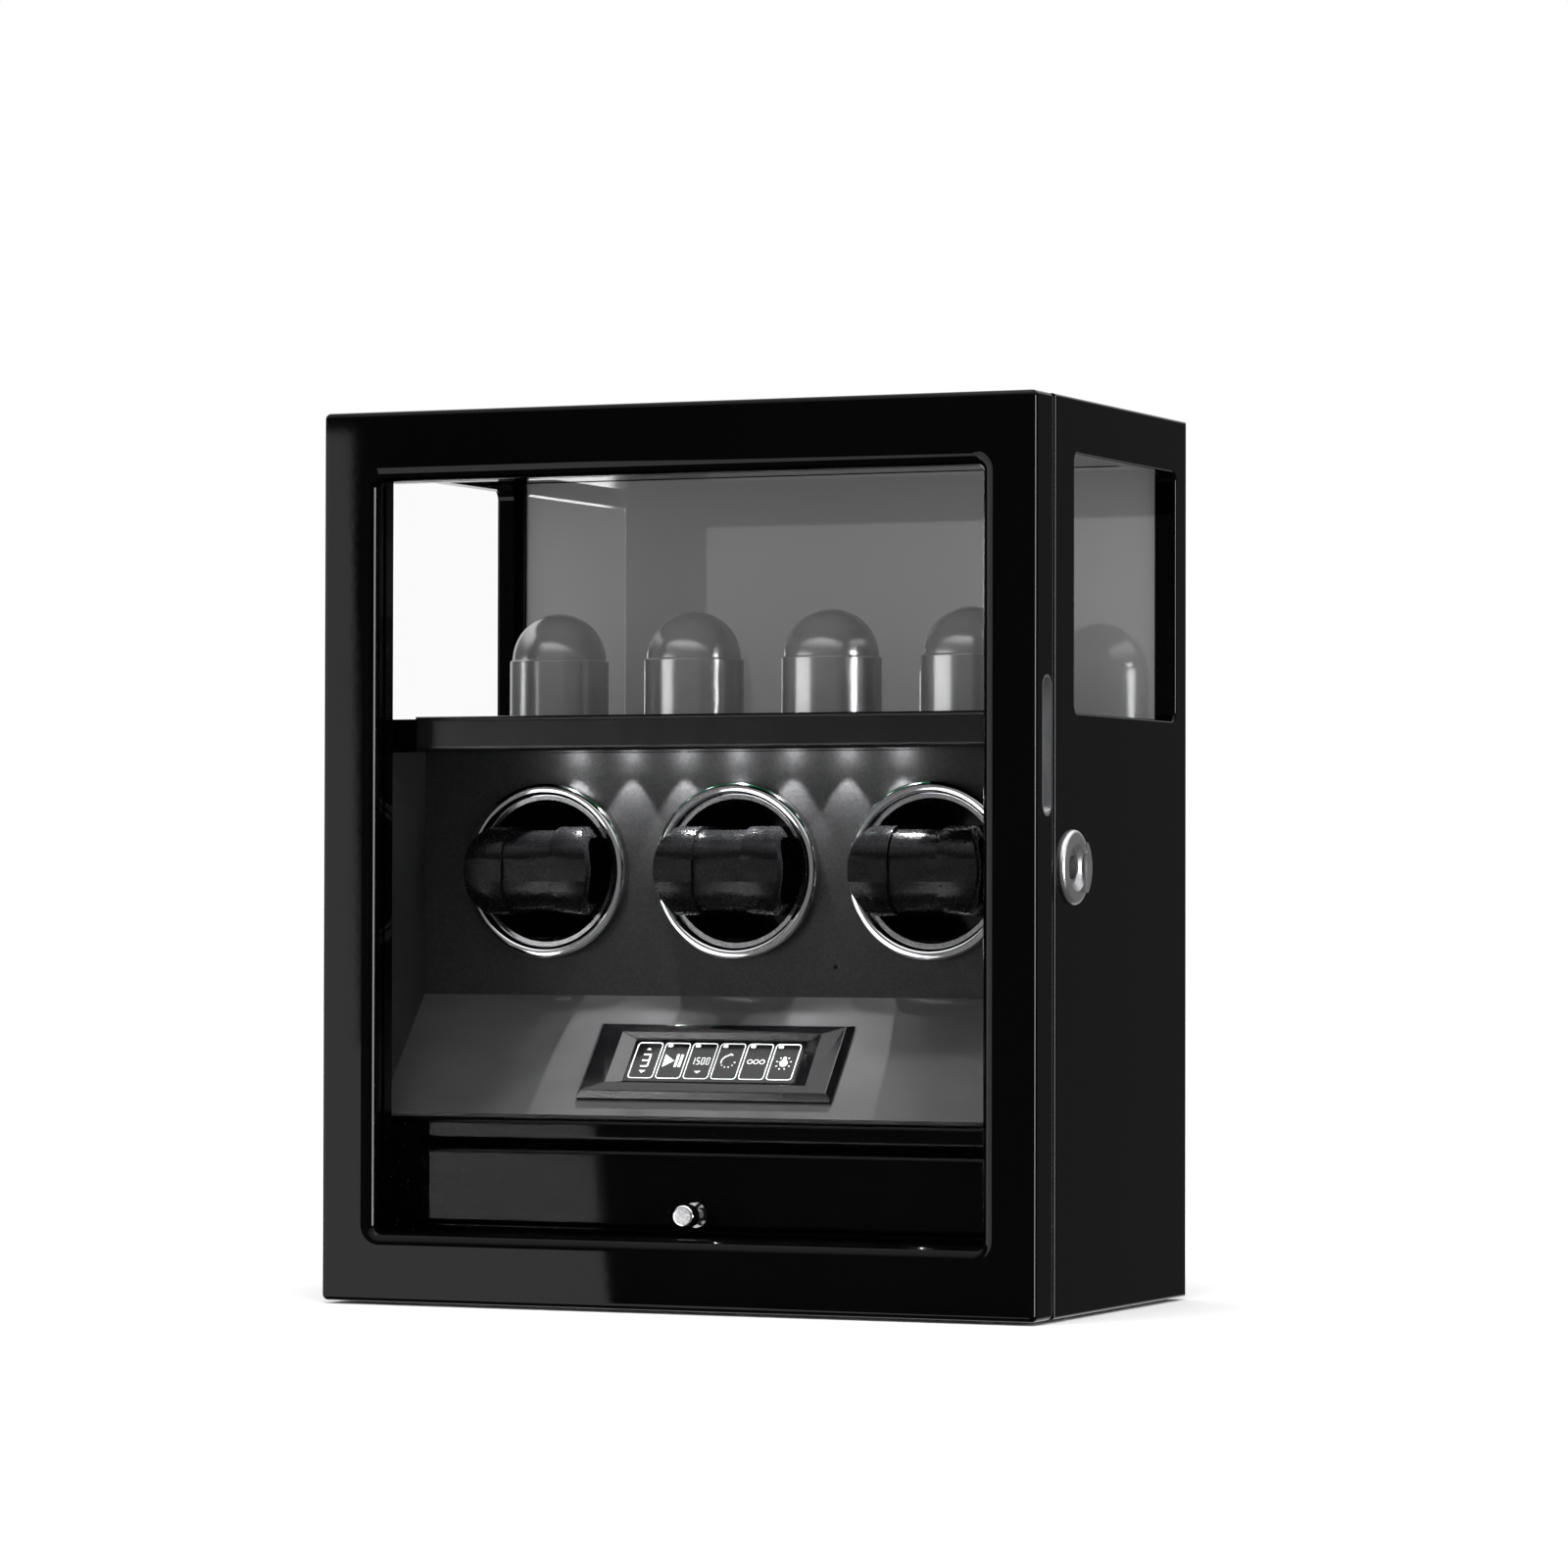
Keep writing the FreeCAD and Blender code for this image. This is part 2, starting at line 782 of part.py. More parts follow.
def make_lights():
    """A strip of small lamps, sunk in the underside of the shelf in front of the fascia."""
    board_low = "shelf_under + lamp_recess - lamp_board_thickness"
    across, deep = lamp_strip("0")
    block("led_board", across, deep, (board_low, "shelf_under + lamp_recess"))
    middle = "fascia_front - lamp_fascia_gap - lamp_board_width / 2"
    lamps = []
    for number in range(1, int(value("lamp_count")) + 1):
        x = f"({number} - (lamp_count + 1) / 2) * lamp_pitch"
        lamps.append(
            block(
                f"led_lamp_{number}",
                (f"{x} - lamp_size / 2", f"{x} + lamp_size / 2"),
                (f"{middle} - lamp_size / 2", f"{middle} + lamp_size / 2"),
                (f"{board_low} - lamp_thickness", board_low),
            )
        )
    grouped("led_lamps", *lamps)


def make_controls():
    """The sloping panel with its raised bezel, touch screen and circuit board."""
    middle = "panel_foot_gap + panel_breadth / 2"

    def across(breadth):
        return (f"{middle} - ({breadth}) / 2", f"{middle} + ({breadth}) / 2")

    sloped_block("control_slope", both_ways("lining_half"), ("0", "slope_thickness"), ("0", "slope_length"))
    frame = sloped_block(
        "display_frame_block", both_ways("panel_length / 2"), ("-panel_proud", "0"), across("panel_breadth")
    )
    face = slope_depth(frame, "panel_proud")
    frame = softened("display_frame_bevelled", frame, "Chamfer", "panel_bevel", face)
    rim = "2 * (screen_clearance + recess_ledge)"
    recess = sloped_funnel(
        "display_frame_recess",
        "-panel_proud",
        middle,
        "recess_depth",
        ("recess_length", "recess_breadth"),
        (f"screen_length + {rim}", f"screen_breadth + {rim}"),
    )
    seat = sloped_block(
        "display_frame_seat",
        both_ways("screen_length / 2 + screen_clearance"),
        ("-panel_proud - 1", "recess_depth + screen_thickness - panel_proud"),
        across("screen_breadth + 2 * screen_clearance"),
    )
    cut("display_frame", frame, recess, seat)
    sloped_block(
        "touch_screen",
        both_ways("screen_length / 2"),
        ("recess_depth - panel_proud", "recess_depth + screen_thickness - panel_proud"),
        across("screen_breadth"),
    )
    behind = "slope_thickness + board_gap"
    board = sloped_block(
        "control_board_plate",
        both_ways("board_length / 2"),
        (behind, f"{behind} + board_thickness"),
        across("board_breadth"),
    )
    posts = []
    for number, (sx, sy) in enumerate(((-1, -1), (1, -1), (-1, 1), (1, 1)), 1):
        x = f"{sx} * (board_length / 2 - 3)"
        up = f"{middle} + {sy} * (board_breadth / 2 - 3)"
        posts.append(
            sloped_block(
                f"control_board_post_{number}",
                (f"{x} - 2", f"{x} + 2"),
                ("slope_thickness", f"{behind} + board_thickness / 2"),
                (f"{up} - 2", f"{up} + 2"),
            )
        )
    fused("control_board", board, *posts)


def slope_depth(item, proud):
    """Picks the edges of the face that stands proud of the slope."""
    angle = math.radians(value("slope_angle"))
    outward = FreeCAD.Vector(0, -math.cos(angle), math.sin(angle))
    foot = FreeCAD.Vector(0, value("slope_foot_front"), value("slope_foot"))
    return lambda at, along: near((at - foot).dot(outward), value(proud))


# Winding drive


def gear_outline(teeth, backlash):
    """Corners of a spur gear with 20 degree involute flanks, four points to a flank."""
    module = value("gear_module")
    pitch = module * teeth / 2
    pressure = math.radians(20)
    base = pitch * math.cos(pressure)
    tip = pitch + module
    root = pitch - 1.25 * module
    half = math.pi / (2 * teeth) - backlash / (4 * pitch)

    def half_angle(radius):
        turn = math.acos(min(1.0, base / radius))
        return half + math.tan(pressure) - pressure - (math.tan(turn) - turn)

    flank = [(radius, half_angle(max(radius, base))) for radius in (root, max(root, base), pitch, tip)]
    if flank[0][0] == flank[1][0]:
        flank = flank[1:]
    corners = []
    for tooth in range(teeth):
        middle = 2 * math.pi * tooth / teeth
        corners += [(radius, middle - angle) for radius, angle in flank]
        corners += [(radius, middle + angle) for radius, angle in reversed(flank)]
    return corners


def gear_disc(name, teeth, phase):
    """A toothed disc along Y, made from its outline and placed by formulas."""
    points = [
        FreeCAD.Vector(radius * math.cos(angle + phase), 0, radius * math.sin(angle + phase))
        for radius, angle in gear_outline(teeth, value("gear_backlash"))
    ]
    wire = Part.makePolygon(points + points[:1])
    disc = doc.addObject("Part::Feature", name)
    disc.Shape = Part.Face(wire).extrude(FreeCAD.Vector(0, value("gear_face"), 0))
    return disc


def make_drive():
    """Cup, wheel, pinion and motor for each rotor, on a plate that stands on the deck."""
    plate = block(
        "drive_plate_board",
        both_ways("lining_half - plate_side_margin"),
        ("plate_front", "plate_back"),
        ("deck_top", "shelf_under - plate_top_margin"),
    )
    sleeve = "shaft_radius + running_clearance + bush_wall"
    through = ("plate_front - 1", "plate_back + 1")
    holes = []
    bushes = []
    motors = []
    for number in ROTORS:
        x = rotor_x(number)
        holes.append(rod(f"plate_bush_hole_{number}", "y", sleeve, through, x=x, z="rotor_z"))
        holes.append(rod(f"plate_motor_hole_{number}", "y", "motor_boss_radius", through, x=x, z="motor_z"))
        bushes.append(rotor_bush(number, sleeve))
        rotor_cup(number)
        rotor_gear(number)
        motors.append(motor(number))
        motor_pinion(number)
    cut("drive_plate", plate, *holes)
    grouped("rotor_bushes", *bushes)
    grouped("winder_motors", *motors)


def rotor_bush(number, sleeve):
    """A flanged sleeve in the drive plate that carries a rotor shaft."""
    at = {"x": rotor_x(number), "z": "rotor_z"}
    name = f"rotor_bush_{number}"
    flange = rod(
        name + "_flange",
        "y",
        f"{sleeve} + bush_flange",
        ("plate_front - bush_flange_thickness", "plate_front"),
        **at,
    )
    tube = rod(name + "_tube", "y", sleeve, ("plate_front - bush_flange_thickness", "bush_back"), **at)
    bore = rod(
        name + "_bore",
        "y",
        "shaft_radius + running_clearance",
        ("plate_front - bush_flange_thickness - 1", "bush_back + 1"),
        **at,
    )
    return cut(name, fused(name + "_blank", flange, tube), bore)


def rotor_cup(number):
    """An open drum that faces forward through its hole in the fascia."""
    turned(
        f"rotor_cup_{number}",
        "y",
        [
            ("0", "cup_depth - cup_floor"),
            ("cup_inner", "cup_depth - cup_floor"),
            ("cup_inner", "0"),
            ("cup_radius", "0"),
            ("cup_radius", "cup_depth"),
            ("0", "cup_depth"),
        ],
        x=rotor_x(number),
        y="cup_front",
        z="rotor_z",
    )


def rotor_gear(number):
    """The wheel behind a cup, with its hub and shaft."""
    at = {"x": rotor_x(number), "z": "rotor_z"}
    name = f"rotor_gear_{number}"
    disc = bind(gear_disc(name + "_disc", int(value("gear_teeth")), 0), y="gear_front", **at)
    hub = rod(name + "_hub", "y", "shaft_radius + 4", ("cup_back", "gear_front + 1"), **at)
    shaft = rod(name + "_shaft", "y", "shaft_radius", ("cup_back", "shaft_back"), **at)
    fused(name, disc, hub, shaft)


def motor(number):
    """A geared motor on the back of the drive plate, its boss through the plate."""
    at = {"x": rotor_x(number), "z": "motor_z"}
    name = f"motor_{number}"
    can = rod(name + "_can", "y", "motor_radius", ("plate_back", "motor_back"), **at)
    boss = rod(name + "_boss", "y", "motor_boss_radius - fit_gap", ("plate_front", "plate_back + 1"), **at)
    tail_span = ("motor_back - 1", "motor_back + 2")
    tail = rod(name + "_tail", "y", "motor_radius / 2", tail_span, **at)
    bore = rod(
        name + "_bore",
        "y",
        "motor_shaft_radius + running_clearance",
        ("plate_front - 1", "plate_back + motor_shaft_seat"),
        **at,
    )
    return cut(name, fused(name + "_blank", can, boss, tail), bore)


def motor_pinion(number):
    """The pinion on a motor shaft, half a tooth out of step with its wheel."""
    at = {"x": rotor_x(number), "z": "motor_z"}
    name = f"motor_pinion_{number}"
    teeth = int(value("pinion_teeth"))
    disc = bind(gear_disc(name + "_disc", teeth, math.pi / teeth), y="gear_front", **at)
    shaft_span = ("gear_front", "plate_back + motor_shaft_seat - 1")
    shaft = rod(name + "_shaft", "y", "motor_shaft_radius", shaft_span, **at)
    fused(name, disc, shaft)


# Watch cuffs and display stands


STANDS = range(1, int(SIZES["stand_count"]) + 1)


def oval_block(name, x, inset):
    """A block across the rotor axis whose long edges are rounded, shrunk by an inset."""
    oval = block(
        name + "_square",
        x,
        (f"cuff_front + {inset}", f"cuff_back - {inset}"),
        (f"rotor_z - cuff_half_height + {inset}", f"rotor_z + cuff_half_height - {inset}"),
    )
    return rounded_along_x(name, oval, worth(f"cuff_corner - {inset}"))


def watch_cuff(number):
    """An oval band that fits the cup, grooved for a strap, on a foot that seats on the cup floor."""
    name = f"watch_cuff_{number}"
    axis = rotor_x(number)

    def across(half):
        return (f"{axis} - ({half})", f"{axis} + ({half})")

    wide = across("cuff_radius + 1")
    outer = oval_block(name + "_outer", wide, "0")
    drum = rod(name + "_drum", "y", "cuff_radius", ("cuff_front - 1", "cuff_back + 1"), x=axis, z="rotor_z")
    body = common(name + "_body", outer, drum)
    inner = oval_block(name + "_inner", across("cuff_radius + 2"), "cuff_wall")
    groove_room = block(
        name + "_groove_room",
        across("cuff_groove_width / 2"),
        ("cuff_front - 1", "cuff_back + 1"),
        ("rotor_z - cuff_half_height - 1", "rotor_z + cuff_half_height + 1"),
    )
    groove_core = oval_block(name + "_groove_core", across("cuff_groove_width"), "cuff_groove_depth")
    groove = cut(name + "_groove", groove_room, groove_core)
    band = cut(name + "_band", body, inner, groove)
    foot = block(
        name + "_foot",
        across("cuff_foot_width / 2"),
        ("cuff_back - cuff_wall / 2", "cup_floor_front"),
        ("rotor_z - cuff_foot_height / 2", "rotor_z + cuff_foot_height / 2"),
    )
    fused(name, band, foot)


def watch_stand(number):
    """A round pedestal with a domed cushion, on the display shelf."""
    name = f"watch_stand_{number}"
    at = {"x": f"({number} - (stand_count + 1) / 2) * stand_pitch", "y": "stand_y"}
    top = "shelf_top + stand_base_height"
    base = rod(name + "_base", "z", "stand_radius", ("shelf_top", top), **at)
    height = worth(top)
    base = softened(name + "_eased", base, "Fillet", "stand_round", lambda at, along: near(at.z, height))
    dome = bind(doc.addObject("Part::Sphere", name + "_dome"), Radius="stand_dome_radius", z=top, **at)
    fused(name, base, dome)


# Door


def hinge_pockets(name, low, side):
    """Room for a hinge: its barrel, and a mortise for its leaf in the cabinet or in the door."""
    at = {"x": "hinge_x", "y": "hinge_y"}
    span = (f"{low} - knuckle_gap", f"{low} + hinge_length + knuckle_gap")
    barrel = rod(f"{name}_{low}_barrel", "z", "barrel_radius + barrel_clearance", span, **at)
    sunk = "hinge_leaf_thickness - hinge_leaf_proud"
    in_cabinet = ("case_front - 1", f"case_front + {sunk}")
    in_door = (f"door_back - ({sunk})", "door_back + 1")
    y = in_cabinet if side > 0 else in_door
    reach = "hinge_x + leaf_start + hinge_leaf_width + knuckle_gap"
    return [barrel, block(f"{name}_{low}_mortise", ("hinge_x - 1", reach), y, span)]


def hinge_leaf(name, low, knuckles, y, bore):
    """One leaf of a butt hinge with its knuckles, counted from the lower end."""
    at = {"x": "hinge_x", "y": "hinge_y"}
    plate_span = ("hinge_x + leaf_start", "hinge_x + leaf_start + hinge_leaf_width")
    pieces = [block(name + "_plate", plate_span, y, (low, f"{low} + hinge_length"))]
    for knuckle in knuckles:
        start = f"{low} + {knuckle} * (knuckle + knuckle_gap)"
        span = (start, f"{start} + knuckle")
        pieces.append(block(f"{name}_strap_{knuckle}", ("hinge_x", "hinge_x + leaf_start + 1"), y, span))
        pieces.append(rod(f"{name}_knuckle_{knuckle}", "z", "barrel_radius", span, **at))
    pin = rod(name + "_bore", "z", bore, (f"{low} - 1", f"{low} + hinge_length + 1"), **at)
    return cut(name, fused(name + "_blank", *pieces), pin)


def make_hinges():
    cabinet_side = ("case_front - hinge_leaf_proud", "case_front - hinge_leaf_proud + hinge_leaf_thickness")
    door_side = ("door_back + hinge_leaf_proud - hinge_leaf_thickness", "door_back + hinge_leaf_proud")
    fixed, moving, pins = [], [], []
    for end, low in (("lower", "hinge_low"), ("upper", "hinge_high")):
        fixed.append(hinge_leaf(f"{end}_cabinet_leaf", low, (0, 2), cabinet_side, "pin_radius"))
        moving.append(hinge_leaf(f"{end}_door_leaf", low, (1,), door_side, "pin_radius + pin_clearance"))
        pin_span = (low, f"{low} + hinge_length")
        pins.append(rod(f"{end}_hinge_pin", "z", "pin_radius", pin_span, x="hinge_x", y="hinge_y"))
    grouped("hinge_leaves_cabinet", *fixed)
    grouped("hinge_leaves_door", *moving)
    grouped("hinge_pins", *pins)


def pull_slot(name, x, inset):
    """A slot with round ends, along Z in the right edge of the door, shrunk by an inset."""
    middle = "door_back - pull_back_margin - pull_width / 2"
    height = "foot_height + pull_height"
    across = f"(pull_width / 2 - {inset})"
    along = f"(pull_length / 2 - {inset})"
    slot = block(
        name + "_square",
        x,
        (f"{middle} - {across}", f"{middle} + {across}"),
        (f"{height} - {along}", f"{height} + {along}"),
    )
    return rounded_along_x(name, slot, worth(f"pull_end - {inset}"))


def make_door():
    slab = block("door_slab", both_ways("half_width"), ("front", "door_back"), ("foot_height", "roof_top"))
    slab = softened("door_slab_eased", slab, "Fillet", "door_round", lambda at, along: True)
    opening = block(
        "door_opening",
        both_ways("opening_half"),
        ("front - 1", "door_back + 1"),
        ("opening_low", "opening_high"),
    )
    opening = softened(
        "door_opening_round", opening, "Fillet", "opening_round", lambda at, along: near(abs(along.y), 1)
    )
    rebate = block(
        "door_rebate",
        both_ways("opening_half + glass_overlap"),
        ("glass_front", "door_back + 1"),
        ("opening_low - glass_overlap", "opening_high + glass_overlap"),
    )
    pocket = pull_slot("door_pull_pocket", ("half_width - pull_depth", "half_width + 1"), "0")
    cutters = [opening, rebate, pocket]
    for low in ("hinge_low", "hinge_high"):
        cutters += hinge_pockets("door", low, -1)
    frame = cut("door_frame_square", slab, *cutters)
    face, half = value("front"), value("opening_half")
    low, high = value("opening_low"), value("opening_high")
    room = value("fit_gap")

    def round_the_opening(at, along):
        return near(at.y, face) and abs(at.x) < half + room and low - room < at.z < high + room

    softened("door_frame", frame, "Fillet", "opening_edge_round", round_the_opening)
    reach = "glass_overlap - glass_clearance"
    glass_x = both_ways(f"opening_half + {reach}")
    glass_z = (f"opening_low - ({reach})", f"opening_high + {reach}")
    block("door_glass", glass_x, ("glass_front", "glass_back"), glass_z)
    bead = block("glass_retainer_block", glass_x, ("glass_back", "retainer_back"), glass_z)
    clear = block(
        "glass_retainer_clear",
        both_ways("opening_half"),
        ("glass_back - 1", "retainer_back + 1"),
        ("opening_low", "opening_high"),
    )
    cut("glass_retainer", bead, clear)
    shell = pull_slot("finger_pull_blank", ("half_width - pull_depth", "half_width - fit_gap / 2"), "0")
    hollow = pull_slot(
        "finger_pull_hollow", ("half_width - pull_depth + pull_wall", "half_width + 1"), "pull_wall"
    )
    cut("finger_pull", shell, hollow)


# Lock


def make_lock():
    """A cam lock through the right side: domed face with a finger lip, turning plug, cam and keeper."""
    at = {"y": "lock_y", "z": "lock_z"}
    face = "half_width + lock_proud"
    disc = rod("lock_face", "x", "lock_radius", ("half_width", face), **at)
    outer = worth(face)
    disc = softened("lock_face_eased", disc, "Fillet", "lock_round", lambda at, along: near(at.x, outer))
    body = rod("lock_body", "x", "lock_body_radius", ("lining_half", "half_width + 0.5"), **at)
    lip_room = block(
        "lock_lip_room",
        (f"{face} - 1", f"{face} + lip_proud"),
        ("lock_y + lock_radius - lock_round - lip_width", "lock_y + lock_radius"),
        ("lock_z - lip_height / 2", "lock_z + lip_height / 2"),
    )
    lip_edge = rod("lock_lip_edge", "x", "lock_radius - lock_round", (f"{face} - 2", f"{face} + 5"), **at)
    lip = common("lock_lip", lip_room, lip_edge)
    bore_span = ("lining_half - 1", f"{face} + 1")
    bore = rod("lock_plug_bore", "x", "lock_plug_radius + running_clearance", bore_span, **at)
    dish = doc.addObject("Part::Cone", "lock_dish")
    dish.Placement.Rotation = ALONG["x"]
    bind(dish, x=f"{face} - lock_dish_depth", Height="lock_dish_depth", **at)
    bind(dish, Radius1="lock_plug_radius + running_clearance", Radius2="lock_dish_radius")
    cut("lock_housing", fused("lock_housing_blank", disc, body, lip), bore, dish)
    plug_face = f"{face} - lock_plug_rest"
    plug = rod("lock_plug_blank", "x", "lock_plug_radius", ("cam_outer", plug_face), **at)
    socket_span = (f"{plug_face} - key_socket_depth", f"{plug_face} + 1")
    cut("lock_plug", plug, rod("lock_key_socket", "x", "key_socket_radius", socket_span, **at))
    cam_span = ("cam_inner", "cam_outer")
    hub = rod("lock_cam_hub", "x", "cam_width", cam_span, **at)
    arm = block(
        "lock_cam_arm",
        cam_span,
        ("lock_y - cam_width / 2", "lock_y + cam_width / 2"),
        ("lock_z - cam_reach", "lock_z"),
    )
    nib = block(
        "lock_cam_nib",
        cam_span,
        ("lock_y - cam_width / 2 - cam_nib", "lock_y"),
        ("lock_z - cam_reach", "lock_z - cam_reach + cam_nib_width"),
    )
    fused("lock_cam", hub, arm, nib)
    leg_out = "cam_inner - keeper_clearance"
    leg_z = ("keeper_z - keeper_breadth / 2", "keeper_z + keeper_breadth / 2")
    plate = block(
        "door_strike_plate",
        (f"{leg_out} - keeper_leg", "lining_half - 2 * fit_gap"),
        ("door_back", "door_back + keeper_plate"),
        leg_z,
    )
    leg = block(
        "door_strike_leg",
        (f"{leg_out} - keeper_leg", leg_out),
        ("door_back", "keeper_y + 2 * keeper_bar_radius"),
        leg_z,
    )
    bar_span = (f"{leg_out} - 1", "cam_outer - fit_gap")
    bar = rod("door_strike_bar", "x", "keeper_bar_radius", bar_span, y="keeper_y", z="keeper_z")
    fused("door_strike", plate, leg, bar)


# Drawer and power inlet


def make_drawer():
    front = block(
        "drawer_front_board",
        both_ways("drawer_half"),
        ("trim_front", "drawer_back"),
        ("drawer_low", "drawer_high"),
    )
    face = value("trim_front")
    softened("drawer_front", front, "Fillet", "drawer_front_round", lambda at, along: near(at.y, face))
    box = block(
        "drawer_tray_block",
        both_ways("tray_half"),
        ("drawer_back", "tray_back"),
        ("drawer_low", "tray_high"),
    )
    room = block(
        "drawer_tray_room",
        both_ways("tray_half - tray_wall"),
        ("drawer_back + tray_wall", "tray_back - tray_wall"),
        ("drawer_low + tray_floor", "tray_high + 1"),
    )
    cut("drawer_tray", box, room)
    knob = turned(
        "drawer_knob",
        "y",
        [
            ("0", "0"),
            ("knob_head_radius", "0"),
            ("knob_head_radius", "knob_head"),
            ("knob_neck_radius", "knob_head"),
            ("knob_neck_radius", "knob_length - knob_flange"),
            ("knob_flange_radius", "knob_length - knob_flange"),
            ("knob_flange_radius", "knob_length"),
            ("0", "knob_length"),
        ],
        y="knob_front",
        z="knob_z",
    )

    def face_edge(at, along):
        return near(at.z, 0) and not near(along.z, 1)

    rounded_body(knob, knob.Tip, "Fillet", "knob_round", face_edge)
    guide = "drawer_half + drawer_bottom_gap"
    back = "tray_back + tray_rear_gap / 2"
    between = both_ways(guide)
    under = ("floor_top", "bearer_top")
    rail_front = "trim_front + drawer_rail_setback"
    beside = ("floor_top", "deck_under")
    grouped(
        "drawer_bearers",
        block("drawer_front_rail", between, (rail_front, f"{rail_front} + bearer_depth"), under),
        block("drawer_back_rail", between, (f"{back} - 2 * bearer_depth", back), under),
        block("drawer_left_guide", ("-inner_half", f"-({guide})"), ("board_front", back), beside),
        block("drawer_right_guide", (guide, "inner_half"), ("board_front", back), beside),
    )


def make_power_jack():
    at = {"x": "jack_x", "z": "jack_z"}
    barrel = rod("power_jack_barrel", "y", "jack_radius", ("rear - jack_length", "rear"), **at)
    bore = rod("power_jack_bore", "y", "jack_bore", ("rear - jack_bore_depth", "rear + 1"), **at)
    contact = rod("power_jack_pin", "y", "1", ("rear - jack_bore_depth - 1", "rear - 1"), **at)
    fused("power_jack", cut("power_jack_shell", barrel, bore), contact)


NODES = (
    ["left_side_panel", "right_side_panel", "top_panel", "bottom_panel", "back_panel", "back_panel_screws"]
    + ["side_window_glass", "mirror_panel", "feet"]
    + ["display_shelf", "shelf_trim", "drawer_deck", "deck_trim", "side_cheeks", "winder_fascia"]
    + ["control_slope", "display_frame", "touch_screen", "control_board", "led_board", "led_lamps"]
    + ["drive_plate", "rotor_bushes", "winder_motors", "power_jack", "drawer_bearers"]
    + ["hinge_leaves_cabinet", "hinge_pins", "lock_housing", "lock_plug", "lock_cam"]
    + ["door_frame", "door_glass", "glass_retainer", "finger_pull", "hinge_leaves_door", "door_strike"]
    + ["drawer_front", "drawer_tray", "drawer_knob"]
    + [f"watch_stand_{number}" for number in STANDS]
    + [
        f"{piece}_{number}"
        for piece in ("bezel_ring", "rotor_cup", "rotor_gear", "watch_cuff", "motor_pinion")
        for number in ROTORS
    ]
)


def export():
    """Checks every object, then writes one STEP file for each named piece."""
    doc.recompute()
    for item in doc.Objects:
        if "Invalid" in item.State or "Error" in item.State:
            raise RuntimeError(f"{item.Label} did not compute: {item.State}")
    for name in NODES:
        shape = doc.getObject(name).Shape
        if shape.isNull() or not shape.isValid():
            raise RuntimeError(f"{name} has no valid shape")
    os.makedirs("parts", exist_ok=True)
    for name in NODES:
        doc.getObject(name).Shape.exportStep(f"parts/{name}.step")


sizes, places = make_sheets()
make_cabinet()
make_shelves()
make_winding_bay()
make_drive()
for cuff in ROTORS:
    watch_cuff(cuff)
for stand in STANDS:
    watch_stand(stand)
make_hinges()
make_door()
make_lock()
make_drawer()
make_power_jack()
export()
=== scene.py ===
"""Watch winder box: finishes, screen marks, drawer lining, lamp light and studio stage."""

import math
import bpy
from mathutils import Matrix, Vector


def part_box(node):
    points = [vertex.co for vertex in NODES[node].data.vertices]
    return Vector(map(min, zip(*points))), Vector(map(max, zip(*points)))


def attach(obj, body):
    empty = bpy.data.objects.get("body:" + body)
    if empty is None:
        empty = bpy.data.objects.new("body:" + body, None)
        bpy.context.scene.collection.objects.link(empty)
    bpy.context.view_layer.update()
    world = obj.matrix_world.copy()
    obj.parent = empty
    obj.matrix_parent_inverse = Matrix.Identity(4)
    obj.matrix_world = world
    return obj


bl_info = {
    "name": "Watch winder box",
    "version": (1, 0, 0),
    "blender": (4, 5, 0),
    "location": "3D View > Sidebar > Winder",
    "description": "Dresses the packed watch winder box and lights it for a studio picture",
    "category": "Object",
}

import bpy
import numpy as np
from mathutils import Matrix, Vector

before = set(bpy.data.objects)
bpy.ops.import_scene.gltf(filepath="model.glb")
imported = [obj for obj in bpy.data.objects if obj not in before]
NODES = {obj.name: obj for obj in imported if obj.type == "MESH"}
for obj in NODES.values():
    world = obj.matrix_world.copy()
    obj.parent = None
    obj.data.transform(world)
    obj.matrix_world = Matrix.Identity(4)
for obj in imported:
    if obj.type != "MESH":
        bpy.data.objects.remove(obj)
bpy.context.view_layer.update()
MM = 0.001
WELD_REACH = 0.002 * MM
SHARP_EDGE = math.radians(40)
NOISE_LOW, NOISE_HIGH = 0.3, 0.7  # most of a noise texture's values lie between these
POLISH_LEAST, POLISH_MOST = 0.7, 1.4  # shares of the lacquer's roughness
ORANGE_PEEL = 0.0006 * MM
SATIN_GRAIN = 0.02 * MM
SENSOR_WIDTH = 36
FLOOR_REACH = 6.0
# Finishes that the photograph hardly shows
HIDDEN_COLOURS = {
    "foot": (0.03, 0.03, 0.03),
    "zinc": (0.5, 0.5, 0.52),
    "brass": (0.7, 0.52, 0.22),
    "nylon": (0.7, 0.69, 0.65),
    "laminate": (0.01, 0.09, 0.04),
    "inlet": (0.015, 0.015, 0.015),
}
SCREEN_BLACK = (0.002, 0.002, 0.0025)
LAMP_WHITE = (1.0, 0.98, 0.95)
MARK_WHITE = (0.9, 0.9, 0.9)
GLASS_TINT = (0.02, 0.022, 0.022)


# Settings


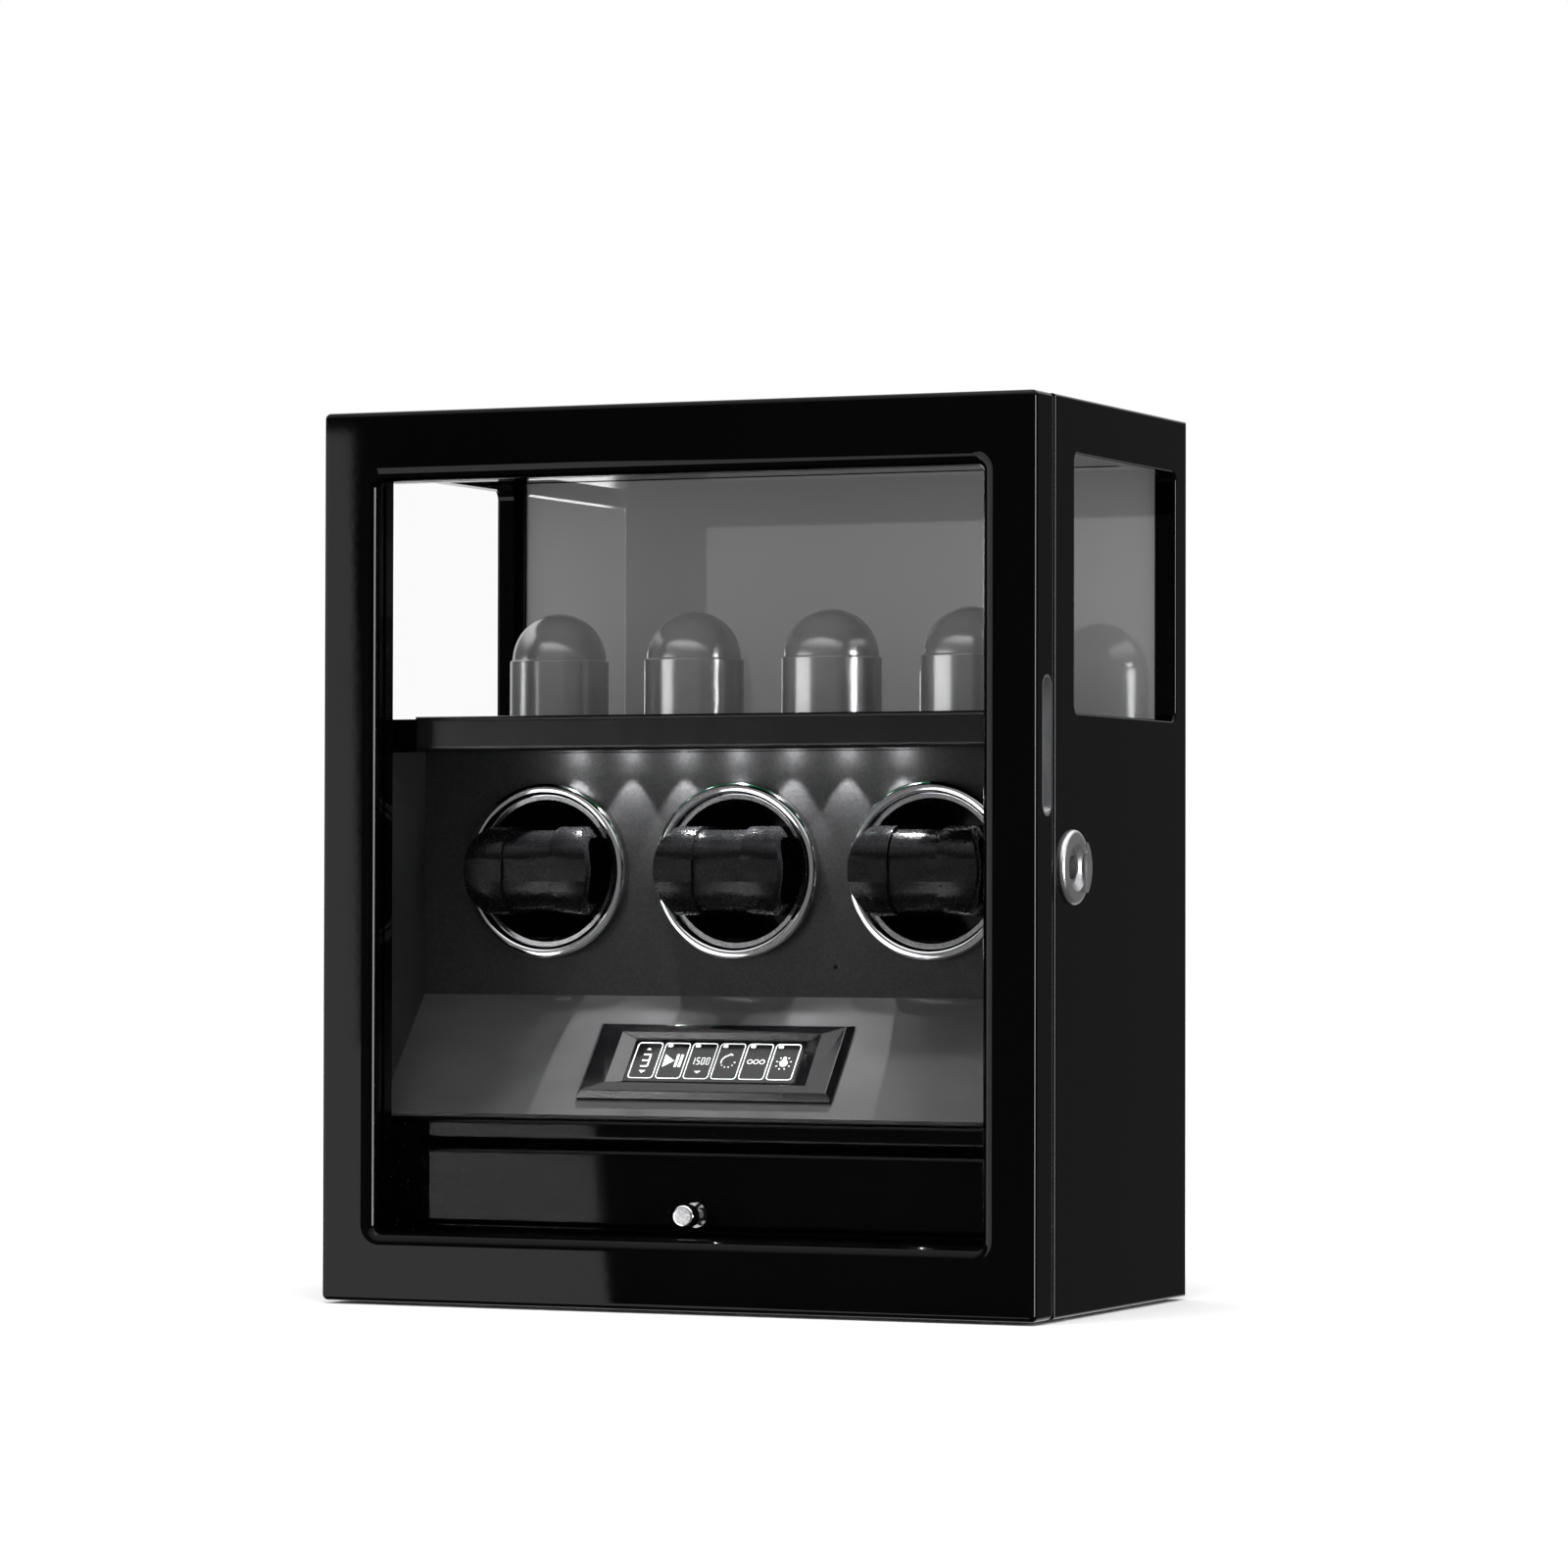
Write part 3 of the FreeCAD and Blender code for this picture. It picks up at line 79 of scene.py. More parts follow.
class WinderFinishes(bpy.types.PropertyGroup):
    """Colours and gloss of the box's finishes."""

    lacquer: bpy.props.FloatVectorProperty(
        name="Lacquer", description="Piano-black lacquer",
        subtype="COLOR", size=3, default=(0.0012, 0.0012, 0.0014)
    )
    lacquer_roughness: bpy.props.FloatProperty(
        name="Lacquer roughness", description="Gloss of the lacquer",
        default=0.018, min=0, max=1, subtype="FACTOR"
    )
    lining: bpy.props.FloatVectorProperty(
        name="Lining", description="Satin board behind the cups",
        subtype="COLOR", size=3, default=(0.03, 0.03, 0.031)
    )
    moulding: bpy.props.FloatVectorProperty(
        name="Moulding", description="Black plastic",
        subtype="COLOR", size=3, default=(0.004, 0.004, 0.0045)
    )
    stand: bpy.props.FloatVectorProperty(
        name="Stands", description="Grey gloss of the stands",
        subtype="COLOR", size=3, default=(0.4, 0.4, 0.405)
    )
    slope: bpy.props.FloatVectorProperty(
        name="Slope", description="Grey of the control slope",
        subtype="COLOR", size=3, default=(0.09, 0.09, 0.092)
    )
    trim: bpy.props.FloatVectorProperty(
        name="Trim", description="Satin black of the shelf trims",
        subtype="COLOR", size=3, default=(0.008, 0.008, 0.0085)
    )
    nickel: bpy.props.FloatVectorProperty(
        name="Nickel", description="Satin plate of lock and pull",
        subtype="COLOR", size=3, default=(0.52, 0.52, 0.53)
    )
    chrome: bpy.props.FloatVectorProperty(
        name="Chrome", description="Bright plate of rings and knob",
        subtype="COLOR", size=3, default=(0.6, 0.6, 0.61)
    )
    mirror: bpy.props.FloatVectorProperty(
        name="Mirror", description="Grey of the mirrored back wall",
        subtype="COLOR", size=3, default=(0.85, 0.85, 0.86)
    )
    lining_flock: bpy.props.FloatVectorProperty(
        name="Flock", description="Velvet flock in the drawer",
        subtype="COLOR", size=3, default=(0.02, 0.02, 0.022)
    )
    frame_ease: bpy.props.FloatProperty(
        name="Frame edges", description="Rounding of the display frame", default=0.35 * MM, unit="LENGTH"
    )
    cuff_ease: bpy.props.FloatProperty(
        name="Cuff edges", description="Rounding of the watch cuffs", default=0.8 * MM, unit="LENGTH"
    )


class WinderScreen(bpy.types.PropertyGroup):
    """The lit marks on the touch screen."""

    slope: bpy.props.FloatProperty(
        name="Slope", description="Lean of the screen from upright",
        subtype="ANGLE", default=math.radians(40)
    )
    screen_thickness: bpy.props.FloatProperty(
        name="Screen thickness", description="Thickness of the touch screen",
        default=1.5 * MM, unit="LENGTH"
    )
    mark_lift: bpy.props.FloatProperty(
        name="Lift", description="Height of the marks over the screen", default=0.1 * MM, unit="LENGTH"
    )
    used_width: bpy.props.FloatProperty(
        name="Used width", description="Share of the screen taken by the cells",
        default=0.98, subtype="FACTOR"
    )
    cell_height: bpy.props.FloatProperty(
        name="Cell height", description="Height of a touch cell", default=20.0 * MM, unit="LENGTH"
    )
    cell_round: bpy.props.FloatProperty(
        name="Cell corner", description="Corner radius of a touch cell", default=1.5 * MM, unit="LENGTH"
    )
    cell_gap: bpy.props.FloatProperty(
        name="Cell gap", description="Space between cells", default=1.5 * MM, unit="LENGTH"
    )
    line: bpy.props.FloatProperty(
        name="Line", description="Width of the drawn lines", default=0.45 * MM, unit="LENGTH"
    )
    glow: bpy.props.FloatProperty(
        name="Glow", description="Strength of the lit marks", default=0.75, min=0
    )


class WinderLining(bpy.types.PropertyGroup):
    """The flock lining of the drawer."""

    tray_wall: bpy.props.FloatProperty(
        name="Wall", description="Tray wall", default=6 * MM, unit="LENGTH"
    )
    tray_floor: bpy.props.FloatProperty(
        name="Floor", description="Tray floor", default=4 * MM, unit="LENGTH"
    )
    gap: bpy.props.FloatProperty(name="Gap", description="Glue line", default=0.15 * MM, unit="LENGTH")
    pile: bpy.props.FloatProperty(name="Pile", description="Thickness", default=0.9 * MM, unit="LENGTH")
    corner: bpy.props.FloatProperty(
        name="Corner", description="Corner radius", default=3 * MM, unit="LENGTH"
    )


class WinderStage(bpy.types.PropertyGroup):
    """Camera and light."""

    camera_place: bpy.props.FloatVectorProperty(
        name="Camera", description="Where the camera stands", subtype="XYZ", unit="LENGTH",
        default=(1.0913, -2.4643, 0.1820)
    )
    camera_yaw: bpy.props.FloatProperty(
        name="Yaw", description="How far round to the right", subtype="ANGLE", default=math.radians(23.63)
    )
    camera_pitch: bpy.props.FloatProperty(
        name="Pitch", description="Tilt upwards", subtype="ANGLE", default=math.radians(1.123)
    )
    camera_roll: bpy.props.FloatProperty(
        name="Roll", description="Turn about the line of sight",
        subtype="ANGLE", default=math.radians(0.121)
    )
    lens: bpy.props.FloatProperty(
        name="Lens", description="Focal length in mm on a 36 mm frame", default=136.16
    )
    lamp_power: bpy.props.FloatProperty(
        name="Lamp power", description="Light of each small lamp", default=0.36, unit="POWER"
    )
    lamp_drop: bpy.props.FloatProperty(
        name="Lamp drop", description="Depth of the lights below the shelf",
        default=0.8 * MM, unit="LENGTH"
    )
    glow_power: bpy.props.FloatProperty(
        name="Glow power", description="Light of the spot above each beam", default=0.015, unit="POWER"
    )
    glow_gap: bpy.props.FloatProperty(
        name="Glow gap", description="Glows in front of the fascia", default=6.0 * MM, unit="LENGTH"
    )
    lamp_count: bpy.props.IntProperty(name="Lamps", description="Lamps in the strip", default=7, min=1)
    lamp_cone: bpy.props.FloatProperty(
        name="Lamp cone", description="Spread of a lamp's light",
        subtype="ANGLE", default=math.radians(62)
    )
    lamp_blend: bpy.props.FloatProperty(
        name="Lamp blend", description="Softness of a lamp's cone", subtype="FACTOR", default=0.3
    )
    wash_power: bpy.props.FloatProperty(
        name="Wash power", description="Light of each lamp on the control slope",
        default=0.75, unit="POWER"
    )
    wash_lean: bpy.props.FloatProperty(
        name="Wash lean", description="Lean of that light to the front",
        subtype="ANGLE", default=math.radians(26)
    )
    lamp_gap: bpy.props.FloatProperty(
        name="Lamp gap", description="Beams in front of the fascia", default=7.0 * MM, unit="LENGTH"
    )
    floor_white: bpy.props.FloatProperty(
        name="Floor white", description="How pale the floor is to the eye", default=2.1
    )
    room_dark: bpy.props.FloatProperty(
        name="Dark room", description="Room in reflections, far side", default=0.14
    )
    fill: bpy.props.FloatProperty(
        name="Fill", description="Light of the room on matt surfaces", default=0.5
    )
    overhead: bpy.props.FloatProperty(
        name="Overhead", description="Brightness of the soft box overhead", default=3.0
    )
    overhead_place: bpy.props.FloatVectorProperty(
        name="Overhead place", description="Where the soft box hangs", subtype="XYZ", unit="LENGTH",
        default=(0.1, -0.6, 1.9)
    )
    bay_light: bpy.props.FloatProperty(
        name="Bay light", description="Brightness of the strip under the roof", default=2.0
    )
    bay_drop: bpy.props.FloatProperty(
        name="Bay drop", description="Depth of that strip below the roof", default=12 * MM, unit="LENGTH"
    )
    bay_forward: bpy.props.FloatProperty(
        name="Bay forward", description="That strip in front of the middle",
        default=30 * MM, unit="LENGTH"
    )


# Mesh and node helpers


def new_object(name, points, faces, material):
    """A mesh object from arrays of corners and faces."""
    mesh = bpy.data.meshes.new(name)
    mesh.from_pydata(np.asarray(points).reshape(-1, 3).tolist(), [], np.asarray(faces).tolist())
    mesh.update()
    mesh.materials.append(material)
    made = bpy.data.objects.new(name, mesh)
    bpy.context.collection.objects.link(made)
    return made


def new_piece(name, points, faces, material, body):
    """A mesh piece riding on a CAD body."""
    piece = new_object(name, points, faces, material)
    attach(piece, body)
    return piece


def grid_faces(rows, columns, wrap_rows=False, wrap_columns=False):
    """Quads between neighbours of a grid of corners, closed round where asked."""
    row = np.arange(rows if wrap_rows else rows - 1)
    column = np.arange(columns if wrap_columns else columns - 1)
    r, c = np.meshgrid(row, column, indexing="ij")
    below, beside = (r + 1) % rows, (c + 1) % columns
    corners = ((r, c), (r, beside), (below, beside), (below, c))
    return np.stack([i * columns + j for i, j in corners], axis=-1).reshape(-1, 4)


def new_material(name):
    """An empty node material and its main shader."""
    material = bpy.data.materials.new(name)
    material.use_nodes = True
    return material, material.node_tree.nodes["Principled BSDF"]


def noise(material, scale, detail=3.0, stretch=(1, 1, 1)):
    """A noise texture on Object coordinates, in features per metre."""
    tree = material.node_tree
    place = tree.nodes.new("ShaderNodeTexCoord")
    mapping = tree.nodes.new("ShaderNodeMapping")
    mapping.inputs["Scale"].default_value = stretch
    texture = tree.nodes.new("ShaderNodeTexNoise")
    texture.inputs["Scale"].default_value = scale
    texture.inputs["Detail"].default_value = detail
    tree.links.new(place.outputs["Object"], mapping.inputs["Vector"])
    tree.links.new(mapping.outputs["Vector"], texture.inputs["Vector"])
    return texture


def spread(material, source, low, high, target):
    """Carries a texture's value, spread between low and high, to a socket."""
    tree = material.node_tree
    ramp = tree.nodes.new("ShaderNodeMapRange")
    ramp.inputs["From Min"].default_value = NOISE_LOW
    ramp.inputs["From Max"].default_value = NOISE_HIGH
    ramp.inputs["To Min"].default_value = low
    ramp.inputs["To Max"].default_value = high
    tree.links.new(source.outputs["Fac"], ramp.inputs["Value"])
    tree.links.new(ramp.outputs["Result"], target)


def tint(material, source, dark, light, shader):
    """Varies the base colour between two colours with a texture."""
    tree = material.node_tree
    ramp = tree.nodes.new("ShaderNodeValToRGB")
    ramp.color_ramp.elements[0].color = (*dark, 1)
    ramp.color_ramp.elements[1].color = (*light, 1)
    ramp.color_ramp.elements[0].position = NOISE_LOW
    ramp.color_ramp.elements[1].position = NOISE_HIGH
    tree.links.new(source.outputs["Fac"], ramp.inputs["Fac"])
    tree.links.new(ramp.outputs["Color"], shader.inputs["Base Color"])


def bump(material, source, shader, depth, strength=1.0):
    """Raises a texture as bump, its depth in metres."""
    tree = material.node_tree
    node = tree.nodes.new("ShaderNodeBump")
    node.inputs["Distance"].default_value = depth
    node.inputs["Strength"].default_value = strength
    tree.links.new(source.outputs["Fac"], node.inputs["Height"])
    tree.links.new(node.outputs["Normal"], shader.inputs["Normal"])


def around(value, share):
    """A value less and more a share of itself."""
    return value * (1 - share), value * (1 + share)


def shades(colour, share=0.2):
    """A darker and a lighter shade of a colour."""
    return tuple(map(tuple, around(np.array(colour), share)))


def dress(material, *names):
    """Gives CAD nodes their finish."""
    for name in names:
        mesh = NODES[name].data
        mesh.materials.clear()
        mesh.materials.append(material)


def eased(width, *names):
    """Rounds the sharp edges of CAD nodes: their loose triangles are welded, then bevelled."""
    for name in names:
        weld = NODES[name].modifiers.new("Weld", "WELD")
        weld.merge_threshold = WELD_REACH
        edges = NODES[name].modifiers.new("Eased", "BEVEL")
        edges.width = width
        edges.segments = 3
        edges.limit_method = "ANGLE"
        edges.angle_limit = SHARP_EDGE
        edges.harden_normals = True


def numbered(*stems, count=3):
    """Names of like nodes, numbered from one."""
    return [f"{stem}_{number}" for stem in stems for number in range(1, count + 1)]


# Finishes


def lacquer_finish(finishes):
    """Deep gloss black with a faint orange peel and uneven polish."""
    material, shader = new_material("piano_black_lacquer")
    polish = noise(material, scale=14, detail=4)
    tint(material, polish, *shades(finishes.lacquer), shader)
    least, most = (finishes.lacquer_roughness * share for share in (POLISH_LEAST, POLISH_MOST))
    spread(material, polish, least, most, shader.inputs["Roughness"])
    bump(material, noise(material, scale=220, detail=1), shader, ORANGE_PEEL)
    shader.inputs["Specular IOR Level"].default_value = 0.08
    return material


def satin_finish(name, colour, roughness, scale=900, shine=0.5):
    """Fine-grained satin black."""
    material, shader = new_material(name)
    shader.inputs["Specular IOR Level"].default_value = shine
    grain = noise(material, scale, detail=2)
    tint(material, grain, *shades(colour), shader)
    spread(material, grain, *around(roughness, 0.15), shader.inputs["Roughness"])
    bump(material, grain, shader, SATIN_GRAIN, strength=0.4)
    return material


def moulded_finish(name, colour, roughness, flow_marks=0.2, shine=0.5):
    """Glossy moulded plastic; flow marks vary its colour and gloss by a share of their value."""
    material, shader = new_material(name)
    shader.inputs["Specular IOR Level"].default_value = shine
    flow = noise(material, scale=40, stretch=(1, 1, 2.5))
    tint(material, flow, *shades(colour, flow_marks), shader)
    spread(material, flow, *around(roughness, flow_marks), shader.inputs["Roughness"])
    return material


def plated_finish(name, colour, roughness, stretch=(1, 1, 1)):
    """Plated metal; a stretched grain gives it a brushed look."""
    material, shader = new_material(name)
    shader.inputs["Metallic"].default_value = 1.0
    grain = noise(material, scale=60, detail=2, stretch=stretch)
    tint(material, grain, *shades(colour, 0.02), shader)
    spread(material, grain, *around(roughness, 0.08), shader.inputs["Roughness"])
    return material


def glass_finish():
    """Thin clear glass, with a trace of smear in its gloss."""
    material, shader = new_material("clear_glass")
    shader.inputs["Base Color"].default_value = (*GLASS_TINT, 1)
    shader.inputs["Alpha"].default_value = 0.01
    shader.inputs["Specular IOR Level"].default_value = 0.03
    smear = noise(material, scale=8)
    spread(material, smear, 0.0, 0.03, shader.inputs["Roughness"])
    return material


def mirror_finish(finishes):
    """Grey mirror acrylic: a pale ground under a clear, strongly reflecting face."""
    material, shader = new_material("grey_mirror")
    smear = noise(material, scale=6, detail=2)
    tint(material, smear, *shades(finishes.mirror, 0.03), shader)
    spread(material, smear, 0.01, 0.025, shader.inputs["Roughness"])
    shader.inputs["IOR"].default_value = 1.8
    shader.inputs["Specular IOR Level"].default_value = 1.0
    shader.inputs["Metallic"].default_value = 0.15
    return material


def lit_finish(name, colour, strength):
    """A lit surface."""
    material, shader = new_material(name)
    shader.inputs["Base Color"].default_value = (*colour, 1)
    shader.inputs["Emission Color"].default_value = (*colour, 1)
    shader.inputs["Emission Strength"].default_value = strength
    shader.inputs["Roughness"].default_value = 0.4
    return material


class WINDER_OT_finish_cabinet(bpy.types.Operator):
    """Lacquers the boards, door and trims, and lines the winding bay"""

    bl_idname = "winder.finish_cabinet"
    bl_label = "Finish cabinet"

    def execute(self, context):
        finishes = context.scene.winder_finishes
        boards = ["left_side_panel", "right_side_panel", "top_panel", "bottom_panel", "display_shelf"]
        boards += ["drawer_deck", "deck_trim", "drawer_bearers", "drawer_front"]
        dress(lacquer_finish(finishes), *boards, "door_frame", "glass_retainer")
        lining = satin_finish("satin_lining", finishes.lining, roughness=0.42, shine=0.1)
        dress(lining, "winder_fascia", "side_cheeks", "back_panel")
        trim = moulded_finish("satin_trim", finishes.trim, roughness=0.2, flow_marks=0.05, shine=0.2)
        dress(trim, "shelf_trim")
        dress(satin_finish("tray_board", finishes.lining_flock, roughness=0.8, scale=500), "drawer_tray")
        dress(satin_finish("foot_pad", HIDDEN_COLOURS["foot"], roughness=0.8, scale=700), "feet")
        return {"FINISHED"}


class WINDER_OT_finish_glass(bpy.types.Operator):
    """Glazes the door and side windows and silvers the back wall"""

    bl_idname = "winder.finish_glass"
    bl_label = "Finish glass"

    def execute(self, context):
        finishes = context.scene.winder_finishes
        dress(glass_finish(), "door_glass", "side_window_glass")
        dress(mirror_finish(finishes), "mirror_panel")
        return {"FINISHED"}


class WINDER_OT_finish_fittings(bpy.types.Operator):
    """Plates the rings, knob, lock, pull and hinges"""

    bl_idname = "winder.finish_fittings"
    bl_label = "Finish fittings"

    def execute(self, context):
        finishes = context.scene.winder_finishes
        chrome = plated_finish("bright_chrome", finishes.chrome, roughness=0.1)
        dress(chrome, *numbered("bezel_ring"), "drawer_knob")
        nickel = plated_finish("satin_nickel", finishes.nickel, roughness=0.34)
        dress(nickel, "lock_housing", "lock_plug", "finger_pull", "lock_cam", "door_strike")
        dress(nickel, "hinge_leaves_cabinet", "hinge_leaves_door", "hinge_pins")
        zinc = plated_finish("zinc_plate", HIDDEN_COLOURS["zinc"], roughness=0.35, stretch=(6, 1, 1))
        dress(zinc, "drive_plate", "winder_motors", "back_panel_screws")
        dress(plated_finish("bearing_brass", HIDDEN_COLOURS["brass"], roughness=0.25), "rotor_bushes")
        return {"FINISHED"}


class WINDER_OT_finish_mouldings(bpy.types.Operator):
    """Colours the cups, cuffs, stands, control panel, gears and boards"""

    bl_idname = "winder.finish_mouldings"
    bl_label = "Finish mouldings"

    def execute(self, context):
        finishes = context.scene.winder_finishes
        black = moulded_finish("gloss_black_moulding", finishes.moulding, roughness=0.1)
        dress(black, "display_frame", *numbered("rotor_cup"))
        cuff = satin_finish("cuff_black", finishes.moulding, roughness=0.26, shine=0.12)
        dress(cuff, *numbered("watch_cuff"))
        eased(finishes.frame_ease, "display_frame")
        eased(finishes.cuff_ease, *numbered("watch_cuff"))
        slope = moulded_finish("slope_grey", finishes.slope, roughness=0.09, flow_marks=0.06, shine=0.25)
        dress(slope, "control_slope")
        dress(moulded_finish("screen_black", SCREEN_BLACK, roughness=0.04), "touch_screen")
        pearl = moulded_finish("stand_grey", finishes.stand, roughness=0.22, flow_marks=0.03)
        pearl.node_tree.nodes["Principled BSDF"].inputs["Metallic"].default_value = 0.35
        dress(pearl, *numbered("watch_stand", count=4))
        nylon = satin_finish("gear_nylon", HIDDEN_COLOURS["nylon"], roughness=0.5)
        dress(nylon, *numbered("rotor_gear", "motor_pinion"))
        laminate = satin_finish("circuit_laminate", HIDDEN_COLOURS["laminate"], roughness=0.35)
        dress(laminate, "control_board", "led_board")
        dress(satin_finish("inlet_black", HIDDEN_COLOURS["inlet"], roughness=0.45), "power_jack")
        dress(lit_finish("lamp_lens", LAMP_WHITE, strength=0.2), "led_lamps")
        return {"FINISHED"}


# Touch screen marks


class ScreenPlane:
    """The front of the touch screen: marks are drawn on it across and up, in metres from its middle."""

    def __init__(self, settings):
        low, high = (np.array(corner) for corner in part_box("touch_screen"))
        slope = settings.slope
        self.outward = np.array([0, -math.cos(slope), math.sin(slope)])
        self.up = np.array([0, math.sin(slope), math.cos(slope)])
        height = settings.screen_thickness / 2 + settings.mark_lift
        self.middle = (low + high) / 2 + self.outward * height
        self.width = high[0] - low[0]

    def place(self, flat):
        """middle + across * X + up * slope direction, for an array of (across, up) pairs."""
        flat = np.asarray(flat)
        return self.middle + flat[:, :1] * np.array([1, 0, 0]) + flat[:, 1:] * self.up


class MarkSheet:
    """Collects flat strips and filled shapes into one mesh."""

    def __init__(self):
        self.points = []
        self.faces = []
        self.count = 0

    def add(self, points, faces):
        """Takes in corners and the faces that number them from nought."""
        self.points.append(np.asarray(points))
        self.faces.append(np.asarray(faces) + self.count)
        self.count += len(points)

    def strip(self, path, width, closed=False):
        """A line of constant width: the path moved half a width to each side along its mitred normals."""
        path = np.asarray(path, dtype=float)
        if closed:
            ahead, behind = np.roll(path, -1, axis=0), np.roll(path, 1, axis=0)
        else:
            ahead = np.vstack([path[1:], 2 * path[-1] - path[-2]])
            behind = np.vstack([2 * path[0] - path[1], path[:-1]])
        before, after = path - behind, ahead - path
        before /= np.linalg.norm(before, axis=1, keepdims=True)
        after /= np.linalg.norm(after, axis=1, keepdims=True)
        along = before + after
        along /= np.linalg.norm(along, axis=1, keepdims=True)
        side = np.stack([-along[:, 1], along[:, 0]], axis=1)
        mitre = width / 2 / np.maximum(0.4, np.sum(along * after, axis=1, keepdims=True))
        edges = np.stack([path + side * mitre, path - side * mitre], axis=1)
        self.add(edges.reshape(-1, 2), grid_faces(len(path), 2, wrap_rows=closed)[:, ::-1])

    def filled(self, outline):
        """A filled convex shape: quads from its middle to its edge, two steps out."""
        outline = np.asarray(outline, dtype=float)
        middle = outline.mean(axis=0)
        rings = np.stack([middle + (outline - middle) * reach for reach in (0.02, 1.0)])
        self.add(rings.reshape(-1, 2), grid_faces(2, len(outline), wrap_columns=True))

    def disc(self, centre, radius, corners=20):
        """A filled circle: centre + radius * (cos t, sin t)."""
        turn = np.linspace(0, 2 * np.pi, corners, endpoint=False)
        self.filled(np.stack([np.cos(turn), np.sin(turn)], axis=1) * radius + np.asarray(centre))


def round_rectangle(width, height, radius, corner_steps=5):
    """Corners of a rectangle with quarter-circle corners, anticlockwise from the upper right."""
    turn = np.linspace(0, np.pi / 2, corner_steps)
    arc = np.stack([np.cos(turn), np.sin(turn)], axis=1) * radius
    inner = np.array([width / 2 - radius, height / 2 - radius])
    quarters = []
    for quarter, signs in enumerate(((1, 1), (-1, 1), (-1, -1), (1, -1))):
        angle = quarter * np.pi / 2
        spin = np.array([[np.cos(angle), np.sin(angle)], [-np.sin(angle), np.cos(angle)]])
        quarters.append(arc @ spin + inner * np.array(signs))
    return np.vstack(quarters)


def arc_path(centre, radius, start, end, steps=14):
    """centre + radius * (cos t, sin t), for t from start to end in degrees."""
    turn = np.radians(np.linspace(start, end, steps))
    return np.stack([np.cos(turn), np.sin(turn)], axis=1) * radius + np.asarray(centre)


SEGMENTS = {"0": "abcdef", "1": "bc", "3": "abcdg", "5": "acdfg"}
BAR_REACH = 0.96


def digit(sheet, figure, centre, width, height, line):
    """A seven-bar figure: bars a to g, each a short strip between two corners of the figure's box."""
    x, y = width / 2, height / 2
    bars = {
        "a": ((-x, y), (x, y)),
        "b": ((x, y), (x, 0)),
        "c": ((x, 0), (x, -y)),
        "d": ((-x, -y), (x, -y)),
        "e": ((-x, 0), (-x, -y)),
        "f": ((-x, y), (-x, 0)),
        "g": ((-x, 0), (x, 0)),
    }
    for bar in SEGMENTS[figure]:
        sheet.strip(np.array(bars[bar]) * BAR_REACH + np.asarray(centre), line)


def small_triangle(sheet, centre, size, points_up):
    """A filled triangle: a level base of the given size, and a tip above or below its middle."""
    rise = size * (0.45 if points_up else -0.45)
    x, y = centre
    corners = [(x - size / 2, y), (x + size / 2, y), (x, y + rise)]
    sheet.filled(corners if points_up else corners[::-1])


def mark_program(sheet, x, cell, line):
    """Program number between an up and a down arrow."""
    digit(sheet, "3", (x, 0), cell * 0.3, cell * 0.56, line * 1.6)
    small_triangle(sheet, (x, cell * 0.5), cell * 0.2, True)
    small_triangle(sheet, (x, -cell * 0.47), cell * 0.26, False)


def mark_play(sheet, x, cell, line):
    """A play arrow and a pause sign."""
    reach = cell * 0.3
    sheet.filled([(x - reach * 1.25, -reach), (x + reach * 0.15, 0), (x - reach * 1.25, reach)])
    for step in (0.5, 1.05):
        bar = round_rectangle(reach * 0.34, reach * 2, reach * 0.05, 2)
        sheet.filled(bar + np.array([x + reach * step, 0]))


def mark_turns(sheet, x, cell, line):
    """A number of turns over a down arrow."""
    for place, figure in enumerate("1500"):
        digit(sheet, figure, (x + (place - 1.5) * cell * 0.2, 0), cell * 0.11, cell * 0.32, line * 0.75)
    small_triangle(sheet, (x, -cell * 0.47), cell * 0.26, False)


def mark_direction(sheet, x, cell, line):
    """A turning arrow whose tail is dotted."""
    radius = cell * 0.28
    sheet.strip(arc_path((x, 0), radius, 100, 200), line * 1.5)
    small_triangle(sheet, (x + radius * 0.1, radius), cell * 0.24, True)
    for angle in np.linspace(222, 350, 5):
        sheet.disc(arc_path((x, 0), radius, angle, angle, 1)[0], line * 0.85, 10)


def mark_rotors(sheet, x, cell, line):
    """Three small rings, for all the cups together."""
    for step in (-1, 0, 1):
        ring = arc_path((x + step * cell * 0.25, 0), cell * 0.095, 0, 342, 20)
        sheet.strip(ring, line * 0.9, closed=True)


def mark_light(sheet, x, cell, line):
    """A lamp with rays."""
    radius = cell * 0.16
    sheet.disc((x, -radius * 0.3), radius)
    sheet.filled(round_rectangle(radius * 0.8, radius, radius * 0.1, 2) + np.array([x, radius * 1.0]))
    for angle in np.linspace(-235, 55, 8):
        near_end = arc_path((x, -radius * 0.3), radius * 1.55, angle, angle, 1)[0]
        far_end = arc_path((x, -radius * 0.3), radius * 2.0, angle, angle, 1)[0]
        sheet.strip([near_end, far_end], line * 0.9)


MARKS = (mark_program, mark_play, mark_turns, mark_direction, mark_rotors, mark_light)


